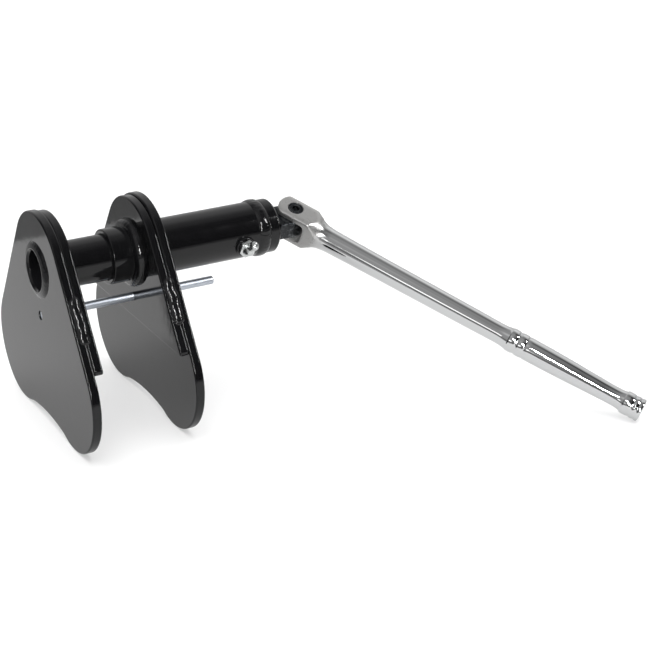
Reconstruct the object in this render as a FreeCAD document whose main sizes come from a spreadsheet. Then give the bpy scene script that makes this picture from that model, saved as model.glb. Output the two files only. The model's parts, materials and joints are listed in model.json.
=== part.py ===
import FreeCAD, Part
import math
import os
import re

import Sketcher

# Coil spring compressor, in millimetres, +Z up, standing on the feet of its two jaws.
# Two welded fork jaws ride on telescoping tubes. A lead screw in the rear tube pulls the
# front tube in through a drive nut, and a square-drive flex handle turns the screw.
# Stations along the screw axis count from the front jaw's outer face, towards the handle.

SIZES = {
    # How far cutting shapes reach past what they cut, and the play of pins and fitted rings.
    "cut_reach": 1.0, "pin_play": 0.02, "ring_play": 0.05, "shaft_play": 0.04,
    # Where the tool lies in its own frame: the origin is under the middle of its bounding box.
    "front_face": -180.05, "axis_side": 59.1, "axis_height": 112.4,
    # Jaw plates: a crown round the tube, two round feet, and a shallow arch between the feet.
    "plate_thick": 6.35, "crown_radius": 41.5, "crown_drop": 1.8,
    "foot_radius": 40.4, "foot_offset": 46.2, "foot_drop": 72.0,
    "arch_radius": 158.0, "arch_drop": 106.1, "plate_round": 1.2,
    "doubler_crown": 40.4, "doubler_drop": 48.0, "doubler_corner": 2.5,
    "rear_jaw_start": 66.7, "weld_gap": 0.1,
    # Edge welds between plate and doubler, on both flanks.
    "edge_weld_radius": 7.3, "edge_weld_rise": 1.2, "edge_weld_top": 2.0, "edge_weld_length": 40.0,
    # Telescoping tubes.
    "inner_tube_dia": 31.75, "inner_tube_bore": 26.95, "inner_tube_start": -2.2,
    "inner_tube_end": 98.0, "mouth_chamfer": 1.0,
    "outer_tube_dia": 38.1, "outer_tube_bore": 31.91, "outer_tube_start": 47.6,
    "outer_tube_end": 165.4, "rim_chamfer": 0.8,
    "front_weld_leg": 3.9, "front_weld_length": 2.1, "small_weld_leg": 3.0,
    "rear_weld_leg": 5.4, "rear_weld_length": 6.0, "back_weld_leg": 4.0, "weld_edge": 0.2,
    # Guide rod that keeps the jaws in line.
    "rod_dia": 6.0, "rod_drop": 32.7, "rod_start": 0.8, "rod_end": 127.8, "rod_chamfer": 0.7,
    "rod_front_gap": 0.05, "rod_running_gap": 0.08, "rod_weld_leg": 2.2,
    # Lead screw, its nut and its thrust bearing.
    "screw_dia": 18.9, "screw_start": 48.0, "screw_tip_chamfer": 1.5, "nut_bore": 19.0,
    "nut_length": 22.0, "nut_flange": 3.0, "nut_flange_dia": 31.6, "nut_pin_dia": 4.0,
    "nut_pin_station": 88.0, "nut_pin_start": 10.5, "seat_start": 136.0, "seat_thick": 6.0, "seat_bore": 19.4,
    "race_thick": 1.6, "race_dia": 31.4, "race_step": 0.4, "ball_dia": 3.968, "ball_circle": 25.2,
    "ball_count": 14, "ball_gap": 0.03, "cage_thick": 1.2, "cage_play": 0.15,
    "cage_inner_dia": 20.4, "cage_outer_dia": 30.2,
    "collar_dia": 30.5, "collar_thick": 5.8, "collar_pin_dia": 4.0, "hub_dia": 23.0,
    "hub_end": 171.0, "socket_width": 12.8, "socket_depth": 13.0,
    # End cap with its spigot and weld bead.
    "cap_end": 173.3, "cap_chamfer": 1.6, "cap_bore": 23.16, "spigot_start": 155.3,
    "cap_bead_start": 156.4, "cap_bead_rise": 1.6,
    # Greasing point on the lower front side of the outer tube.
    "grease_station": 144.9, "grease_angle": 14.0, "boss_dia": 14.5, "boss_rise": 1.6,
    "grease_hole": 3.2, "fitting_hex": 11.5, "fitting_hex_height": 3.4, "elbow_dia": 7.6,
    "elbow_rise": 1.6, "fitting_tilt": 60.0, "fitting_turn": -17.0, "nipple_length": 8.6,
    "nipple_neck_dia": 5.0,
    "nipple_head_dia": 6.4, "nipple_head_length": 3.4, "nipple_mouth": 2.2, "mouth_depth": 1.2,
    "fitting_bore": 1.6,
    # Flex handle: where its pivot is and how it lies at rest.
    "pivot_station": 191.7, "swing_roll": 27.75, "bend_angle": 53.9,
    # Drive tang.
    "tang_width": 12.7, "tang_tip": -31.2, "shoulder_start": -17.2, "shoulder_end": -14.2,
    "shoulder_dia": 18.6, "knuckle_width": 19.0, "knuckle_thick": 15.4, "knuckle_bore": 8.12,
    "tang_chamfer": 0.9, "detent_station": -25.0, "detent_ball_dia": 4.4,
    "detent_hole_dia": 4.5, "detent_hole_floor": 0.5, "detent_spring_dia": 3.8, "detent_spring_bore": 2.6,
    # Yoke and shaft of the handle.
    "yoke_width": 19.0, "yoke_thick": 25.0, "ear_radius": 12.5, "slot_width": 15.8,
    "slot_root": 12.2, "slot_round": 3.5, "yoke_length": 30.0, "shaft_reach": 300.0,
    "shaft_girth": 40.0, "pivot_head_dia": 11.0,
    "pivot_head_thick": 3.4, "pivot_head_recess": 0.25, "pivot_dia": 8.0, "pivot_hex": 5.0,
    "pivot_hex_depth": 2.4,
    "plunger_dia": 5.0, "plunger_round": 1.2, "plunger_start": 9.8, "plunger_length": 9.0,
    "plunger_hole_end": 30.0, "flex_spring_dia": 4.6, "flex_spring_bore": 3.2,
}

# The turned outline of the handle: distance from its pivot, and diameter there.
HANDLE_OUTLINE = [
    (-13.0, 31.0), (14.0, 31.0), (18.0, 26.0), (22.0, 20.6), (26.0, 17.8), (32.0, 16.6),
    (60.0, 16.2), (100.0, 15.7), (150.0, 14.8), (172.0, 14.5), (176.0, 15.6), (190.0, 15.8),
    (198.0, 16.6), (212.0, 16.1), (226.0, 15.2), (240.0, 14.3), (252.0, 13.6), (262.0, 13.6),
    (266.0, 15.6), (278.4, 15.6), (279.4, 13.4),
]
# Raised rings turned on the grip: the rounding of their crowns, then the distance of each
# from the pivot and its diameter.
RING_ROUND = 1.9
GRIP_RINGS = [(178.4, 17.0), (185.2, 17.0), (268.2, 16.9), (273.8, 16.9), (277.4, 16.8)]

doc = FreeCAD.newDocument("CoilSpringCompressor")
sheet = doc.addObject("Spreadsheet::Sheet", "Sizes")
for number, (station, diameter) in enumerate(HANDLE_OUTLINE):
    SIZES["outline_station_%d" % number] = station
    SIZES["outline_diameter_%d" % number] = diameter
for row, (alias, value) in enumerate(SIZES.items(), start=1):
    cell = "B%d" % row
    sheet.set("A%d" % row, alias.replace("_", " "))
    sheet.set(cell, "%s" % value)
    sheet.setAlias(cell, alias)
doc.recompute()

X_AXIS = FreeCAD.Vector(1, 0, 0)
Y_AXIS = FreeCAD.Vector(0, 1, 0)
Z_AXIS = FreeCAD.Vector(0, 0, 1)
ALONG_X = FreeCAD.Rotation(Y_AXIS, 90)
PARTS = []


def size(alias):
    return float(sheet.get(alias))


def qualified(expression):
    return re.sub(r"[a-z]+(?:_[a-z0-9]+)+", lambda word: "Sizes." + word.group(0), str(expression))


def bind(thing, expressions):
    for path, expression in expressions.items():
        thing.setExpression(path, qualified(expression))
    return thing


def base_on_axis(start, side="0", up="0"):
    return {
        "Placement.Base.x": "front_face + (%s)" % start,
        "Placement.Base.y": "axis_side + (%s)" % side,
        "Placement.Base.z": "axis_height + (%s)" % up,
    }


def rod(name, diameter, length, start, side="0", up="0"):
    """A round bar along the screw axis, from the station start."""
    bar = doc.addObject("Part::Cylinder", name)
    bar.Placement.Rotation = ALONG_X
    bind(bar, {"Radius": "(%s) / 2" % diameter, "Height": length})
    return bind(bar, base_on_axis(start, side, up))


def cone(name, first_dia, last_dia, length, start, side="0", up="0"):
    body = doc.addObject("Part::Cone", name)
    body.Placement.Rotation = ALONG_X
    bind(body, {"Radius1": "(%s) / 2" % first_dia, "Radius2": "(%s) / 2" % last_dia})
    return bind(bind(body, {"Height": length}), base_on_axis(start, side, up))


def local(kind, name, expressions, rotation=None):
    """A primitive in a sub-part's own coordinates."""
    solid = doc.addObject(kind, name)
    if rotation is not None:
        solid.Placement.Rotation = rotation
    return bind(solid, expressions)


def cut(name, base, tool):
    result = doc.addObject("Part::Cut", name)
    result.Base, result.Tool, result.Refine = base, tool, True
    return result


def fuse(name, shapes):
    result = doc.addObject("Part::MultiFuse", name)
    result.Shapes, result.Refine = shapes, True
    return result


def common(name, shapes):
    result = doc.addObject("Part::MultiCommon", name)
    result.Shapes, result.Refine = shapes, True
    return result


def group(name, shapes):
    result = doc.addObject("Part::Compound", name)
    result.Links = shapes
    return result


def edge_numbers(shape, wanted):
    return [number for number, edge in enumerate(shape.Edges, start=1) if wanted(edge)]


def dressed(kind, name, base, amount, wanted):
    """A Part::Chamfer or Part::Fillet on the edges of base that pass the test."""
    doc.recompute()
    result = doc.addObject(kind, name)
    result.Base = base
    result.Edges = [(number, amount, amount) for number in edge_numbers(base.Shape, wanted)]
    if not result.Edges:
        raise RuntimeError("no edge found for " + name)
    return result


def circle_at(station, radius):
    """Picks the round edges of that radius at that station of the screw axis."""
    place = size("front_face") + station

    def test(edge):
        if not isinstance(edge.Curve, Part.Circle):
            return False
        return abs(edge.Curve.Center.x - place) < 0.01 and abs(edge.Curve.Radius - radius) < 0.01
    return test


def keep(piece):
    """Marks an object as a finished sub-part, whose Label names its file."""
    piece.Label = piece.Name
    PARTS.append(piece)
    return piece


def ring(name, outer, inner, length, start):
    return cut(name, rod(name + "_blank", outer, length, start),
               rod(name + "_bore", inner, "(%s) + 2 * cut_reach" % length,
                   "(%s) - cut_reach" % start))


def origin_plane(body, role):
    return next(feature for feature in body.Origin.OriginFeatures if feature.Role == role)


# --- Jaw plates -------------------------------------------------------------------------

def tangent_angle(crown_radius):
    """Angle of the outward normal of the flank, the common tangent of crown and foot."""
    across = size("foot_offset")
    down = size("foot_drop") - size("crown_drop")
    lean = math.atan2(across, down)
    return lean - math.asin((crown_radius - size("foot_radius")) / math.hypot(across, down))


def polar(centre, radius, angle):
    return FreeCAD.Vector(centre.x + radius * math.cos(angle), centre.y + radius * math.sin(angle), 0)


def arc(centre, radius, first, last):
    return Part.ArcOfCircle(Part.Circle(centre, Z_AXIS, radius), first, last)


def constrain(sketch, name, expression, *definition):
    index = sketch.addConstraint(Sketcher.Constraint(*definition))
    sketch.renameConstraint(index, name)
    sketch.setExpression("Constraints." + name, qualified(expression))


def tube_and_rod_holes(sketch, hole_dia, rod_hole_dia):
    """Adds the round holes for the tube, on the axis, and for the guide rod below it."""
    tube = sketch.addGeometry(Part.Circle(FreeCAD.Vector(0, 0, 0), Z_AXIS, 20))
    sketch.addConstraint(Sketcher.Constraint("Coincident", tube, 3, -1, 1))
    constrain(sketch, "tube_hole", hole_dia, "Diameter", tube, 30)
    below = FreeCAD.Vector(0, -size("rod_drop"), 0)
    guide = sketch.addGeometry(Part.Circle(below, Z_AXIS, 3))
    sketch.addConstraint(Sketcher.Constraint("PointOnObject", guide, 3, -2))
    constrain(sketch, "rod_drop_down", "rod_drop", "DistanceY", guide, 3, -1, 1, size("rod_drop"))
    constrain(sketch, "rod_hole", rod_hole_dia, "Diameter", guide, 6)


def plate_sketch(sketch):
    """Crown arc, two straight flanks, two feet and the arch between them."""
    crown_radius, foot_radius = size("crown_radius"), size("foot_radius")
    arch_radius = size("arch_radius")
    lean = tangent_angle(crown_radius)
    crown = FreeCAD.Vector(0, -size("crown_drop"), 0)
    right = FreeCAD.Vector(size("foot_offset"), -size("foot_drop"), 0)
    left = FreeCAD.Vector(-right.x, right.y, 0)
    below = FreeCAD.Vector(0, -size("arch_drop") - arch_radius, 0)
    apart = math.hypot(right.x, right.y - below.y)
    towards = math.atan2(right.y - below.y, right.x)
    reach = (apart ** 2 + arch_radius ** 2 - foot_radius ** 2) / (2 * apart * arch_radius)
    bend = towards + math.acos(reach)
    corner = polar(below, arch_radius, bend)
    inner = math.atan2(corner.y - right.y, corner.x - right.x)
    top = sketch.addGeometry(arc(crown, crown_radius, lean, math.pi - lean))
    right_flank = sketch.addGeometry(Part.LineSegment(
        polar(crown, crown_radius, lean), polar(right, foot_radius, lean)))
    right_foot = sketch.addGeometry(arc(right, foot_radius, inner, lean))
    arch = sketch.addGeometry(arc(below, arch_radius, bend, math.pi - bend))
    left_foot = sketch.addGeometry(arc(left, foot_radius, math.pi - lean, 3 * math.pi - inner))
    left_flank = sketch.addGeometry(Part.LineSegment(
        polar(left, foot_radius, math.pi - lean), polar(crown, crown_radius, math.pi - lean)))
    for first, end, second, start in ((top, 1, right_flank, 1), (right_flank, 2, right_foot, 2),
                                      (left_foot, 1, left_flank, 1), (left_flank, 2, top, 2)):
        sketch.addConstraint(Sketcher.Constraint("Tangent", first, end, second, start))
    sketch.addConstraint(Sketcher.Constraint("Coincident", right_foot, 1, arch, 1))
    sketch.addConstraint(Sketcher.Constraint("Coincident", left_foot, 2, arch, 2))
    for centred in (top, arch):
        sketch.addConstraint(Sketcher.Constraint("PointOnObject", centred, 3, -2))
    sketch.addConstraint(Sketcher.Constraint("Symmetric", right_foot, 3, left_foot, 3, -2))
    constrain(sketch, "crown", "crown_radius", "Radius", top, crown_radius)
    constrain(sketch, "crown_down", "crown_drop", "DistanceY", top, 3, -1, 1, size("crown_drop"))
    constrain(sketch, "foot", "foot_radius", "Radius", right_foot, foot_radius)
    constrain(sketch, "other_foot", "foot_radius", "Radius", left_foot, foot_radius)
    constrain(sketch, "foot_down", "foot_drop", "DistanceY", right_foot, 3, -1, 1, size("foot_drop"))
    constrain(sketch, "foot_out", "foot_offset", "DistanceX", -1, 1, right_foot, 3,
              size("foot_offset"))
    constrain(sketch, "arch_round", "arch_radius", "Radius", arch, arch_radius)
    constrain(sketch, "arch_down", "arch_drop + arch_radius", "DistanceY", arch, 3, -1, 1,
              size("arch_drop") + arch_radius)


def doubler_sketch(sketch):
    """The same crown and flanks a little smaller, cut off level above the feet."""
    crown_radius, foot_radius = size("doubler_crown"), size("foot_radius")
    lean = tangent_angle(crown_radius)
    crown = FreeCAD.Vector(0, -size("crown_drop"), 0)
    foot = FreeCAD.Vector(size("foot_offset"), -size("foot_drop"), 0)
    level = -size("doubler_drop")
    start = polar(crown, crown_radius, lean)
    run = (start.y - level) / math.cos(lean)
    right_end = FreeCAD.Vector(start.x + run * math.sin(lean), level, 0)
    left_start = FreeCAD.Vector(-start.x, start.y, 0)
    left_end = FreeCAD.Vector(-right_end.x, level, 0)
    top = sketch.addGeometry(arc(crown, crown_radius, lean, math.pi - lean))
    right_flank = sketch.addGeometry(Part.LineSegment(start, right_end))
    bottom = sketch.addGeometry(Part.LineSegment(right_end, left_end))
    left_flank = sketch.addGeometry(Part.LineSegment(left_end, left_start))
    guide = sketch.addGeometry(Part.Circle(foot, Z_AXIS, foot_radius), True)
    sketch.addConstraint(Sketcher.Constraint("Tangent", top, 1, right_flank, 1))
    sketch.addConstraint(Sketcher.Constraint("Tangent", left_flank, 2, top, 2))
    sketch.addConstraint(Sketcher.Constraint("Coincident", right_flank, 2, bottom, 1))
    sketch.addConstraint(Sketcher.Constraint("Coincident", bottom, 2, left_flank, 1))
    sketch.addConstraint(Sketcher.Constraint("PointOnObject", top, 3, -2))
    sketch.addConstraint(Sketcher.Constraint("Symmetric", right_flank, 2, left_flank, 1, -2))
    sketch.addConstraint(Sketcher.Constraint("Tangent", right_flank, guide))
    constrain(sketch, "crown", "doubler_crown", "Radius", top, crown_radius)
    constrain(sketch, "crown_down", "crown_drop", "DistanceY", top, 3, -1, 1, size("crown_drop"))
    constrain(sketch, "foot", "foot_radius", "Radius", guide, foot_radius)
    constrain(sketch, "foot_down", "foot_drop", "DistanceY", guide, 3, -1, 1, size("foot_drop"))
    constrain(sketch, "foot_out", "foot_offset", "DistanceX", -1, 1, guide, 3, size("foot_offset"))
    constrain(sketch, "level", "doubler_drop", "DistanceY", right_flank, 2, -1, 1, -level)


def jaw_part(name, outline, start, hole_dia, rod_hole_dia, corners):
    """A plate or doubler: sketched outline padded along the axis, then its edges rounded."""
    body = doc.addObject("PartDesign::Body", name)
    sketch = body.newObject("Sketcher::SketchObject", name + "_outline")
    sketch.AttachmentSupport = [(origin_plane(body, "YZ_Plane"), "")]
    sketch.MapMode = "FlatFace"
    outline(sketch)
    tube_and_rod_holes(sketch, hole_dia, rod_hole_dia)
    pad = body.newObject("PartDesign::Pad", name + "_pad")
    pad.Profile = sketch
    bind(pad, {"Length": "plate_thick"})
    bind(body, base_on_axis(start))
    doc.recompute()
    tip = pad
    if corners:
        def corner(edge):
            low = all(abs(point.Point.z + size("doubler_drop")) < 0.01 for point in edge.Vertexes)
            return low and abs(edge.Length - size("plate_thick")) < 0.01
        tip = rounding(body, pad, name + "_corners", "doubler_corner", corner)

    def outline_edge(edge):
        """True for the outline of either face, and not for the rims of the holes."""
        level = edge.Vertexes[0].Point.x
        return not edge.isClosed() and all(abs(point.Point.x - level) < 0.01
                                           for point in edge.Vertexes)
    rounding(body, tip, name + "_rounding", "plate_round", outline_edge)
    return keep(body)


def rounding(body, base, name, radius, wanted):
    feature = body.newObject("PartDesign::Fillet", name)
    feature.Base = (base, ["Edge%d" % number for number in edge_numbers(base.Shape, wanted)])
    bind(feature, {"Radius": radius})
    doc.recompute()
    return feature


def jaw(prefix, plate_start, doubler_start, tube_dia, rod_gap):
    """One jaw: the full plate and, welded to its inner face, the doubler."""
    hole = "%s + 2 * weld_gap" % tube_dia
    rod_hole = "rod_dia + 2 * %s" % rod_gap
    jaw_part(prefix + "_jaw_plate", plate_sketch, plate_start, hole, rod_hole, False)
    jaw_part(prefix + "_jaw_doubler", doubler_sketch, doubler_start, hole, rod_hole, True)


def edge_welds(prefix, seam_station):
    """Weld beads over the seam of plate and doubler, one on each flank."""
    lean = tangent_angle(size("crown_radius"))
    reach, length = size("edge_weld_radius"), size("edge_weld_length")
    seam = FreeCAD.Vector(size("front_face") + seam_station, size("axis_side"),
                          size("axis_height"))
    beads = []
    for word, side in (("left", 1), ("right", -1)):
        outward = FreeCAD.Vector(0, side * math.cos(lean), math.sin(lean))
        along = X_AXIS.cross(outward)
        down = along * -side
        flank = FreeCAD.Vector(0, 0, -size("crown_drop")) + outward * size("crown_radius")
        top = flank + down * ((flank.z + size("edge_weld_top")) / math.cos(lean))
        start = seam + (top if side < 0 else top + down * length)
        turn = FreeCAD.Rotation(X_AXIS, outward, along, "ZXY")
        bead_name = "%s_%s_bead" % (prefix, word)
        bead = local("Part::Cylinder", bead_name, {"Radius": "edge_weld_radius",
                                                   "Height": "edge_weld_length"})
        bead.Placement = FreeCAD.Placement(
            start + outward * (size("edge_weld_rise") - reach), turn)
        inside = local("Part::Box", bead_name + "_inside", {"Length": "4 * edge_weld_radius",
                       "Width": "4 * edge_weld_radius", "Height": "edge_weld_length + 10"})
        inside.Placement = FreeCAD.Placement(
            start - X_AXIS * 2 * reach - outward * 4 * reach - along * 5, turn)
        beads.append(cut(bead_name + "_crown", bead, inside))
    keep(group(prefix + "_edge_welds", beads))


def fillet_weld(name, tube_dia, leg, wide_start, length, towards_handle):
    """A ring of weld round a tube, wide where it meets the plate."""
    wide = "%s + 2 * (%s)" % (tube_dia, leg)
    thin = "%s + 2 * weld_edge" % tube_dia
    first, last = (wide, thin) if towards_handle else (thin, wide)
    start = wide_start if towards_handle else "(%s) - (%s)" % (wide_start, length)
    blank = cone(name + "_blank", first, last, length, start)
    return cut(name, blank, rod(name + "_bore", tube_dia, "(%s) + 2 * cut_reach" % length,
                                "(%s) - cut_reach" % start))


jaw("front", "0", "plate_thick", "inner_tube_dia", "rod_front_gap")
jaw("rear", "rear_jaw_start + plate_thick", "rear_jaw_start", "outer_tube_dia",
    "rod_running_gap")
edge_welds("front", size("plate_thick"))
edge_welds("rear", size("rear_jaw_start") + size("plate_thick"))

# --- Tubes, and the rings of weld that hold them in the jaws -------------------------------

def cross_pin(name, diameter, first_radius, last_radius, station, side):
    """A radial pin to one side of the axis, from one radius out to another."""
    pin = doc.addObject("Part::Cylinder", name)
    pin.Placement.Rotation = FreeCAD.Rotation(X_AXIS, -90 * side)
    bind(pin, {"Radius": "(%s) / 2" % diameter,
               "Height": "(%s) - (%s)" % (last_radius, first_radius)})
    return bind(pin, base_on_axis(station, "%d * (%s)" % (side, first_radius)))


def inner_tube():
    length = "inner_tube_end - inner_tube_start"
    blank = ring("inner_tube_pipe", "inner_tube_dia", "inner_tube_bore", length,
                 "inner_tube_start")
    mouth = cone("inner_tube_mouth", "inner_tube_bore + 2 * mouth_chamfer + 0.2",
                 "inner_tube_bore", "mouth_chamfer + 0.1", "inner_tube_start - 0.1")
    holes = [cross_pin("inner_tube_hole_%d" % number, "nut_pin_dia + pin_play", "nut_bore / 2",
                       "inner_tube_dia", "nut_pin_station", side)
             for number, side in enumerate((1, -1))]
    keep(cut("inner_tube", blank, group("inner_tube_cuts", [mouth] + holes)))


def outer_tube():
    length = "outer_tube_end - outer_tube_start"
    blank = ring("outer_tube_pipe", "outer_tube_dia", "outer_tube_bore", length,
                 "outer_tube_start")
    channel = grease_way("outer_tube_channel", "grease_hole", "outer_tube_bore / 2 - 2",
                         "outer_tube_dia / 2 + 2")
    bored = cut("outer_tube_drilled", blank, channel)
    rim = circle_at(size("outer_tube_start"), size("outer_tube_dia") / 2)
    tube = dressed("Part::Chamfer", "outer_tube", bored, size("rim_chamfer"), rim)
    keep(tube)


def grease_way(name, diameter, first_radius, last_radius):
    """A round bar from one radius to another along the greasing point's own direction."""
    bar = doc.addObject("Part::Cylinder", name)
    down = math.radians(size("grease_angle"))
    bar.Placement.Rotation = FreeCAD.Rotation(Z_AXIS, FreeCAD.Vector(
        0, -math.cos(down), -math.sin(down)))
    bind(bar, {"Radius": "(%s) / 2" % diameter,
               "Height": "(%s) - (%s)" % (last_radius, first_radius)})
    return bind(bar, base_on_axis("grease_station", "-(%s) * cos(grease_angle)" % first_radius,
                                  "-(%s) * sin(grease_angle)" % first_radius))


def tube_welds():
    outer_ring = fillet_weld("front_outer_ring", "inner_tube_dia", "front_weld_leg", "0",
                             "front_weld_length", False)
    inner_ring = fillet_weld("front_inner_ring", "inner_tube_dia", "small_weld_leg",
                             "2 * plate_thick", "small_weld_leg", True)
    keep(group("front_tube_welds", [outer_ring, inner_ring]))
    collar_ring = fillet_weld("rear_collar_ring", "outer_tube_dia", "rear_weld_leg",
                              "rear_jaw_start", "rear_weld_length", False)
    back_ring = fillet_weld("rear_back_ring", "outer_tube_dia", "back_weld_leg",
                            "rear_jaw_start + 2 * plate_thick", "back_weld_leg", True)
    keep(group("rear_tube_welds", [collar_ring, back_ring]))


inner_tube()
outer_tube()
tube_welds()

# --- Guide rod ---------------------------------------------------------------------------

def guide_rod():
    bar = rod("guide_rod_bar", "rod_dia", "rod_end - rod_start", "rod_start", "0", "-rod_drop")
    free_end = circle_at(size("rod_end"), size("rod_dia") / 2)
    keep(dressed("Part::Chamfer", "guide_rod", bar, size("rod_chamfer"), free_end))
    start = "2 * plate_thick"
    blank = cone("guide_rod_weld_blank", "rod_dia + 2 * rod_weld_leg", "rod_dia + 2 * weld_edge",
                 "rod_weld_leg", start, "0", "-rod_drop")
    bore = rod("guide_rod_weld_bore", "rod_dia + 2 * rod_front_gap", "rod_weld_leg + 2 * cut_reach",
               start + " - cut_reach", "0", "-rod_drop")
    keep(cut("guide_rod_weld", blank, bore))


guide_rod()

# --- Lead screw, drive nut and thrust bearing ----------------------------------------------

RACE_START = "seat_start + seat_thick"
BALLS_START = RACE_START + " + race_thick + ball_gap"
TURNING_START = BALLS_START + " + ball_dia + ball_gap"
HUB_START = TURNING_START + " + race_thick"


def drive_nut():
    body = rod("drive_nut_body", "inner_tube_bore - ring_play", "nut_length",
               "inner_tube_end - nut_length")
    flange = rod("drive_nut_flange", "nut_flange_dia", "nut_flange", "inner_tube_end")
    bore = rod("drive_nut_bore", "nut_bore", "nut_length + nut_flange + 2 * cut_reach",
               "inner_tube_end - nut_length - cut_reach")
    holes = [cross_pin("drive_nut_hole_%d" % number, "nut_pin_dia + pin_play",
                       "nut_pin_start", "inner_tube_dia", "nut_pin_station", side)
             for number, side in enumerate((1, -1))]
    keep(cut("drive_nut", fuse("drive_nut_blank", [body, flange]),
             group("drive_nut_cuts", [bore] + holes)))
    keep(group("drive_nut_pins", [
        cross_pin("drive_nut_pin_%d" % number, "nut_pin_dia", "nut_pin_start + ring_play",
                  "inner_tube_dia / 2 - weld_gap", "nut_pin_station", side)
        for number, side in enumerate((1, -1))]))


def lead_screw():
    shaft = rod("lead_screw_shaft", "screw_dia", HUB_START + " - screw_start", "screw_start")
    tip = circle_at(size("screw_start"), size("screw_dia") / 2)
    pointed = dressed("Part::Chamfer", "lead_screw_point", shaft, size("screw_tip_chamfer"), tip)
    hub = rod("lead_screw_hub", "hub_dia", "hub_end - (%s)" % HUB_START, HUB_START)
    socket = local("Part::Box", "lead_screw_socket", {"Length": "socket_depth + cut_reach",
                   "Width": "socket_width", "Height": "socket_width"})
    half = "(socket_width / 2)"
    bind(socket, {"Placement": placed("hub_end - socket_depth", "swing_roll", "0",
                                      "0", "-" + half, "-" + half)})
    pin_hole = rod("lead_screw_pin_hole", "collar_pin_dia + pin_play", "hub_dia + 2 * cut_reach", HUB_START)
    pin_hole.Placement.Rotation = FreeCAD.Rotation(X_AXIS, -90)
    bind(pin_hole, base_on_axis(HUB_START + " + collar_thick / 2", "-hub_dia / 2 - cut_reach"))
    keep(cut("lead_screw", fuse("lead_screw_blank", [pointed, hub]),
             group("lead_screw_cuts", [socket, pin_hole])))


def placed(station, roll, swing, along="0", across="0", up="0"):
    """Placement of something on the screw axis, rolled about it and swung about its own Z."""
    frame = ("create(<<placement>>; create(<<vector>>; front_face + (%s); axis_side; "
             "axis_height); create(<<rotation>>; create(<<vector>>; 1; 0; 0); %s))"
             % (station, roll))
    turned = ("create(<<placement>>; create(<<vector>>; 0; 0; 0); create(<<rotation>>; "
              "create(<<vector>>; 0; 0; 1); %s))" % swing)
    moved = ("create(<<placement>>; create(<<vector>>; %s; %s; %s); create(<<rotation>>; "
             "create(<<vector>>; 1; 0; 0); 0))" % (along, across, up))
    return "%s * %s * %s" % (frame, turned, moved)


def screw_collar():
    blank = ring("screw_collar_ring", "collar_dia", "hub_dia + shaft_play", "collar_thick", HUB_START)
    middle = HUB_START + " + collar_thick / 2"
    holes = [cross_pin("screw_collar_hole_%d" % number, "collar_pin_dia + pin_play",
                       "hub_dia / 2 - 2", "collar_dia / 2 + 2", middle, side)
             for number, side in enumerate((1, -1))]
    keep(cut("screw_collar", blank, group("screw_collar_holes", holes)))
    pin = doc.addObject("Part::Cylinder", "screw_collar_pin")
    pin.Placement.Rotation = FreeCAD.Rotation(X_AXIS, -90)
    bind(pin, {"Radius": "collar_pin_dia / 2", "Height": "collar_dia - 0.4"})
    keep(bind(pin, base_on_axis(middle, "-collar_dia / 2 + 0.2")))


def thrust_bearing():
    keep(ring("thrust_seat", "outer_tube_bore - ring_play", "seat_bore", "seat_thick", "seat_start"))
    keep(ring("thrust_race_fixed", "race_dia", "seat_bore", "race_thick", RACE_START))
    keep(ring("thrust_race_turning", "race_dia - race_step", "screw_dia + shaft_play", "race_thick",
              TURNING_START))
    middle = BALLS_START + " + ball_dia / 2"
    cage = ring("ball_cage_ring", "cage_outer_dia", "cage_inner_dia", "cage_thick",
                middle + " - cage_thick / 2")
    balls, pockets = [], []
    count = int(size("ball_count"))
    for number in range(count):
        turn = "%d * 360 / ball_count" % number
        side = "ball_circle / 2 * cos(%s)" % turn
        up = "ball_circle / 2 * sin(%s)" % turn
        balls.append(local("Part::Sphere", "thrust_ball_%d" % number,
                           dict(base_on_axis(middle, side, up), Radius="ball_dia / 2")))
        pockets.append(rod("ball_pocket_%d" % number, "ball_dia + cage_play",
                           "cage_thick + 2 * cut_reach",
                           middle + " - cage_thick / 2 - cut_reach", side, up))
    keep(group("thrust_balls", balls))
    keep(cut("ball_cage", cage, group("ball_pockets", pockets)))


drive_nut()
lead_screw()
screw_collar()
thrust_bearing()

# --- End cap and greasing point --------------------------------------------------------------

def end_cap():
    disc = rod("end_cap_disc", "outer_tube_dia", "cap_end - outer_tube_end", "outer_tube_end")
    rim = circle_at(size("cap_end"), size("outer_tube_dia") / 2)
    edged = dressed("Part::Chamfer", "end_cap_edged", disc, size("cap_chamfer"), rim)
    spigot = rod("end_cap_spigot", "outer_tube_bore - ring_play", "outer_tube_end - spigot_start",
                 "spigot_start")
    bore = rod("end_cap_bore", "cap_bore", "cap_end - spigot_start + 2 * cut_reach",
               "spigot_start - cut_reach")
    keep(cut("end_cap", fuse("end_cap_blank", [edged, spigot]), bore))


def end_cap_weld():
    """A crowned bead round the tube, up to the cap."""
    width = size("outer_tube_end") - size("cap_bead_start")
    rise = size("cap_bead_rise")
    bead_radius = ((width / 2) ** 2 + rise ** 2) / (2 * rise)
    bead = doc.addObject("Part::Torus", "end_cap_bead")
    bead.Placement.Rotation = ALONG_X
    bead.Radius1 = size("outer_tube_dia") / 2 + rise - bead_radius
    bead.Radius2 = bead_radius
    bind(bead, base_on_axis("(outer_tube_end + cap_bead_start) / 2"))
    inside = rod("end_cap_bead_inside", "outer_tube_dia", "4 * hub_dia",
                 "cap_bead_start - hub_dia")
    keep(cut("end_cap_weld", bead, inside))


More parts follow.
